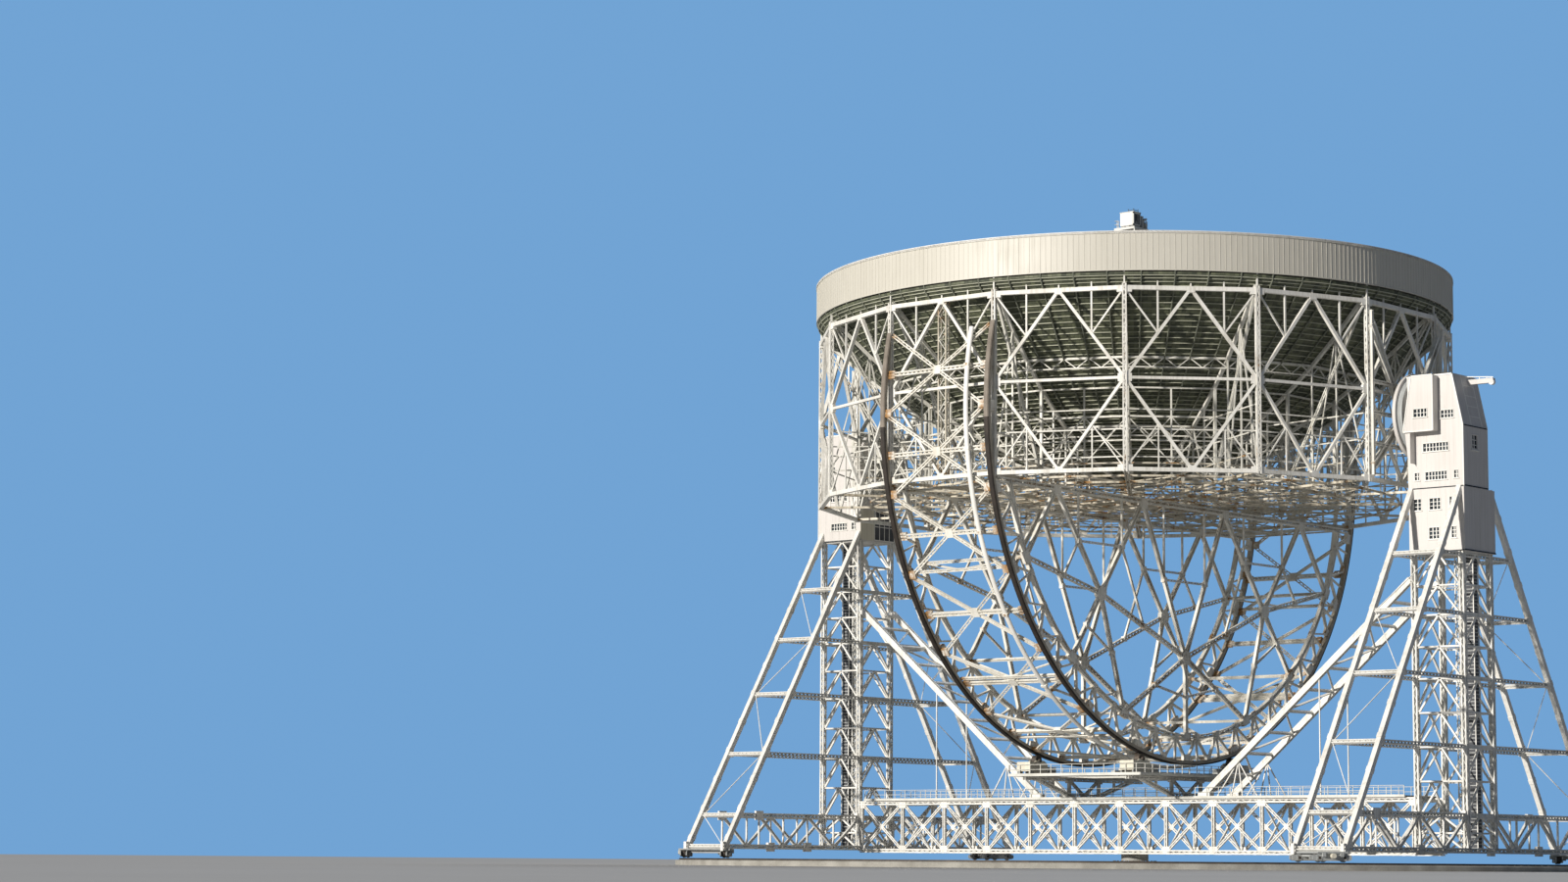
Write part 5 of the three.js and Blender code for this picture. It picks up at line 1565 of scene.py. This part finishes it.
def makeMast():
    work = Steelwork()
    half, low, top, levels = pick(mast, "half low top levels")
    heights = [low + 0.3 + (top - low - 0.4) * i / levels for i in range(levels + 1)]
    for (sx, sy), (nx, ny) in pairs((*corners, corners[0])):
        facing = ((sx + nx) / 2, (sy + ny) / 2, 0)
        here, there = (sx * half, sy * half), (nx * half, ny * half)
        work.bar((*here, low), (*here, top), 0.26, 0.26, alongX)
        for z, after in zip(heights, [*heights[1:], None]):
            work.bar((*here, z), (*there, z), 0.16, 0.16, facing)
            if after:
                work.bar((*here, z), (*there, after), 0.12, 0.14, facing)
                work.bar((*there, z), (*here, after), 0.12, 0.1, facing)
    work.turned(mast["base"], 64)
    ladder = mast["ladder"]
    for x in (-ladder, ladder):
        work.bar((x, 0, low), (x, 0, top), 0.06, 0.06, alongX)
    for i in range(mast["rungs"]):
        z = mast["rungFrom"] + i * mast["rungPitch"]
        work.bar((-ladder, 0, z), (ladder, 0, z), 0.05, 0.05, alongY)
    work.make("focus_tower", "bowl", white, ["towerPaint"], None, "focusMast")


def makeFocusPlatform():
    work = Steelwork()
    half, slab = pick(head, "half slab")
    low, inside = mast["top"] + 0.12, half - 0.1
    work.box((-half, -half, slab - 0.22), (half, half, slab - 0.08))
    for s in both:
        edge = s * (half - 0.04)
        work.box((edge - 0.05, -half, slab - 0.3), (edge + 0.05, half, slab), 1)
        work.box((-half, edge - 0.05, slab - 0.3), (half, edge + 0.05, slab), 1)
        work.bar((edge, -half, low), (edge, half, low), 0.14, 0.2, up, 1)
        work.bar((-half, edge, low), (half, edge, low), 0.14, 0.2, up, 1)
        for y in (-0.9, 0, 0.9):
            work.bar((s * half, y, low), (0, y, low), 0.1, 0.12, up, 1)
        for y in (-inside, inside):
            work.bar((edge, y, low - 0.07), (edge, y, slab - 0.2), 0.16, 0.16, alongX, 1)
            work.bar((edge, y, low - 0.02), (edge, 0, slab - 0.25), 0.09, 0.09, alongX, 1)
    work.make("focus_platform", "bowl", "grey_paint", ["grating", "lightPaint"])
    e = half - 0.06
    path = [(-0.9, -e, slab), (-e, -e, slab), (-e, e, slab), (e, e, slab), (e, 0.5, slab)]
    railing("focusRailing", [path], "bowl", 0.9, 1, 0.06)


def makeHouse():
    house = Steelwork()
    slab, low, high, (left, front), (right, back) = pick(head, "slab base roof low high")
    house.box((left, front, low), (right - 0.12, back, high - 0.06))
    house.box((left - 0.05, front - 0.05, high - 0.08), (right + 0.05, back + 0.05, high), 1)
    # the deep recess in the right side
    for y1, y2, z1, z2 in ((front, front + 0.14, low, high), (back - 0.14, back, low, high),
                           (front, back, low, low + 0.14), (front, back, high - 0.26, high - 0.06)):
        house.box((right - 0.14, y1, z1), (right, y2, z2), 1)
    # a near-black panel at the back of the recess: painted shade
    house.box((right - 0.13, front + 0.1, low + 0.1), (right - 0.1, back - 0.1, high - 0.2), 2)
    house.drum((right - 0.12, -0.6, low + 0.35), (right - 0.02, -0.6, low + 0.35), 0.2, 20, 3)
    house.box((right - 0.1, -0.35, low + 0.2), (right - 0.02, -0.2, high - 0.3), 3)
    # machinery under the house and behind it
    for x1, y1, x2, y2, z1, z2, paint in head["machines"]:
        house.box((x1, y1, z1), (x2, y2, z2), paint)
        house.box((x1 - 0.03, y1 - 0.03, z2 - 0.05), (x2 + 0.03, y2 + 0.03, z2), 4)
    for x, y, z, radius, paint in head["drums"]:
        house.drum((x - radius, y, z), (x + radius, y, z), radius, 20, paint)
        house.bar((x, y, slab), (x, y, z), 0.08, 0.08, alongX, 3)
    for place in head["rods"]:
        house.bar((*place, high), (*place, head["top"]), 0.05, 0.05, alongX, 2)
    for (start, end), facing in zip(pairs(head["rods"]), (alongY, alongX)):
        house.bar((*start, high + 0.22), (*end, high + 0.22), 0.05, 0.05, facing, 2)
    finishes = ["edgePaint", "lightPaint", "slatPaint", "greyPaint", "machineGrey"]
    house.make("focus_box", "bowl", "cabin_paint", finishes, None, "focusHouse")


makeMast()
makeFocusPlatform()
makeHouse()
print("focus made")


# Nodes kept from the frame

keptPaints = {"left_cabin": "cabinPaint", "right_cabin": "cabinPaint", "right_lower_cabin": "cabinPaint",
              "centre_column": "trussPaint", "vertex_hub": "trussPaint"}
for node, paint in keptPaints.items():
    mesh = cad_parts[node].data
    mesh.materials.clear()
    mesh.materials.append(paints[paint])


# Floor, light and camera

studio = {"reach": 600, "light": ((0.34, 0.56, 0.94), 0.115), "backdrop": ((0.19, 0.42, 0.75), 0.88)}
lamps = {  # energy, colour, azimuth, height, softness
    "sun": (4.3, (1.0, 0.94, 0.86), -9, 15, 2),
    "fill": (0.95, (0.86, 0.92, 1.0), 200, 38, 30),
}
view = {"azimuth": 34.961, "distance": 394.155, "height": 0.662, "pitch": 7.288, "yaw": 6.024,
        "roll": 0.443, "focalPixels": 3356.34, "centre": (804.27, 448.25), "photo": (1600, 900),
        "sensor": 36, "clip": 2000}


def makeStage():
    mesh = bpy.data.meshes.new("studioFloor")
    reach = studio["reach"]
    mesh.from_pydata([(i * reach, j * reach, 0) for i, j in corners], [], [(0, 1, 2, 3)])
    mesh.materials.append(paints["floorMatt"])
    floor = placed("studioFloor", mesh)


def makeLights():
    scene = bpy.context.scene
    world = bpy.data.worlds.new("plainBlue")
    world.use_nodes = True
    world.node_tree.nodes.clear()
    graph = Graph(world.node_tree)
    mixed = {0: graph.add("ShaderNodeLightPath")}
    for n, key in enumerate(("light", "backdrop"), 1):
        colour, strength = studio[key]
        mixed[n] = graph.add("ShaderNodeBackground", {"Color": colour, "Strength": strength})
    graph.add("ShaderNodeOutputWorld", {"Surface": graph.add("ShaderNodeMixShader", mixed)})
    scene.world = world
    scene.view_settings.view_transform = "Standard"
    for name, (energy, colour, azimuth, height, soft) in lamps.items():
        lamp = bpy.data.lights.new(name, "SUN")
        lamp.energy, lamp.color, lamp.angle = energy, colour, math.radians(soft)
        placed(name, lamp).rotation_euler = (math.radians(90 - height), 0, math.radians(azimuth))


def makeCamera():
    azimuth, pitch, yaw, roll = (math.radians(view[key]) for key in ("azimuth", "pitch", "yaw", "roll"))
    distance, height, (wide, tall), (x, y) = pick(view, "distance height photo centre")
    look = azimuth + yaw
    place = Vector((distance * math.sin(azimuth), -distance * math.cos(azimuth), height)) * tenth
    forward = Vector((-math.sin(look) * math.cos(pitch), math.cos(look) * math.cos(pitch), math.sin(pitch)))
    right = Vector((math.cos(look), math.sin(look), 0))
    upward = right.cross(forward)
    turnedRight = right * math.cos(roll) + upward * math.sin(roll)
    turnedUp = upward * math.cos(roll) - right * math.sin(roll)
    lens = bpy.data.cameras.new("photoCamera")
    lens.sensor_width, lens.clip_end = view["sensor"], view["clip"]
    lens.lens = view["focalPixels"] * view["sensor"] / wide
    lens.shift_x, lens.shift_y = (wide / 2 - x) / wide, (y - tall / 2) / wide
    camera = placed("photoCamera", lens)
    rows = Matrix((turnedRight, turnedUp, -forward)).transposed().to_4x4()
    camera.matrix_world = Matrix.Translation(place) @ rows
    bpy.context.scene.camera = camera


makeStage()
makeLights()
makeCamera()

shown = [thing.data for thing in bpy.data.objects if thing.type == "MESH" and not thing.hide_render]
print("triangles:", sum(len(face.vertices) - 2 for mesh in shown for face in mesh.polygons))
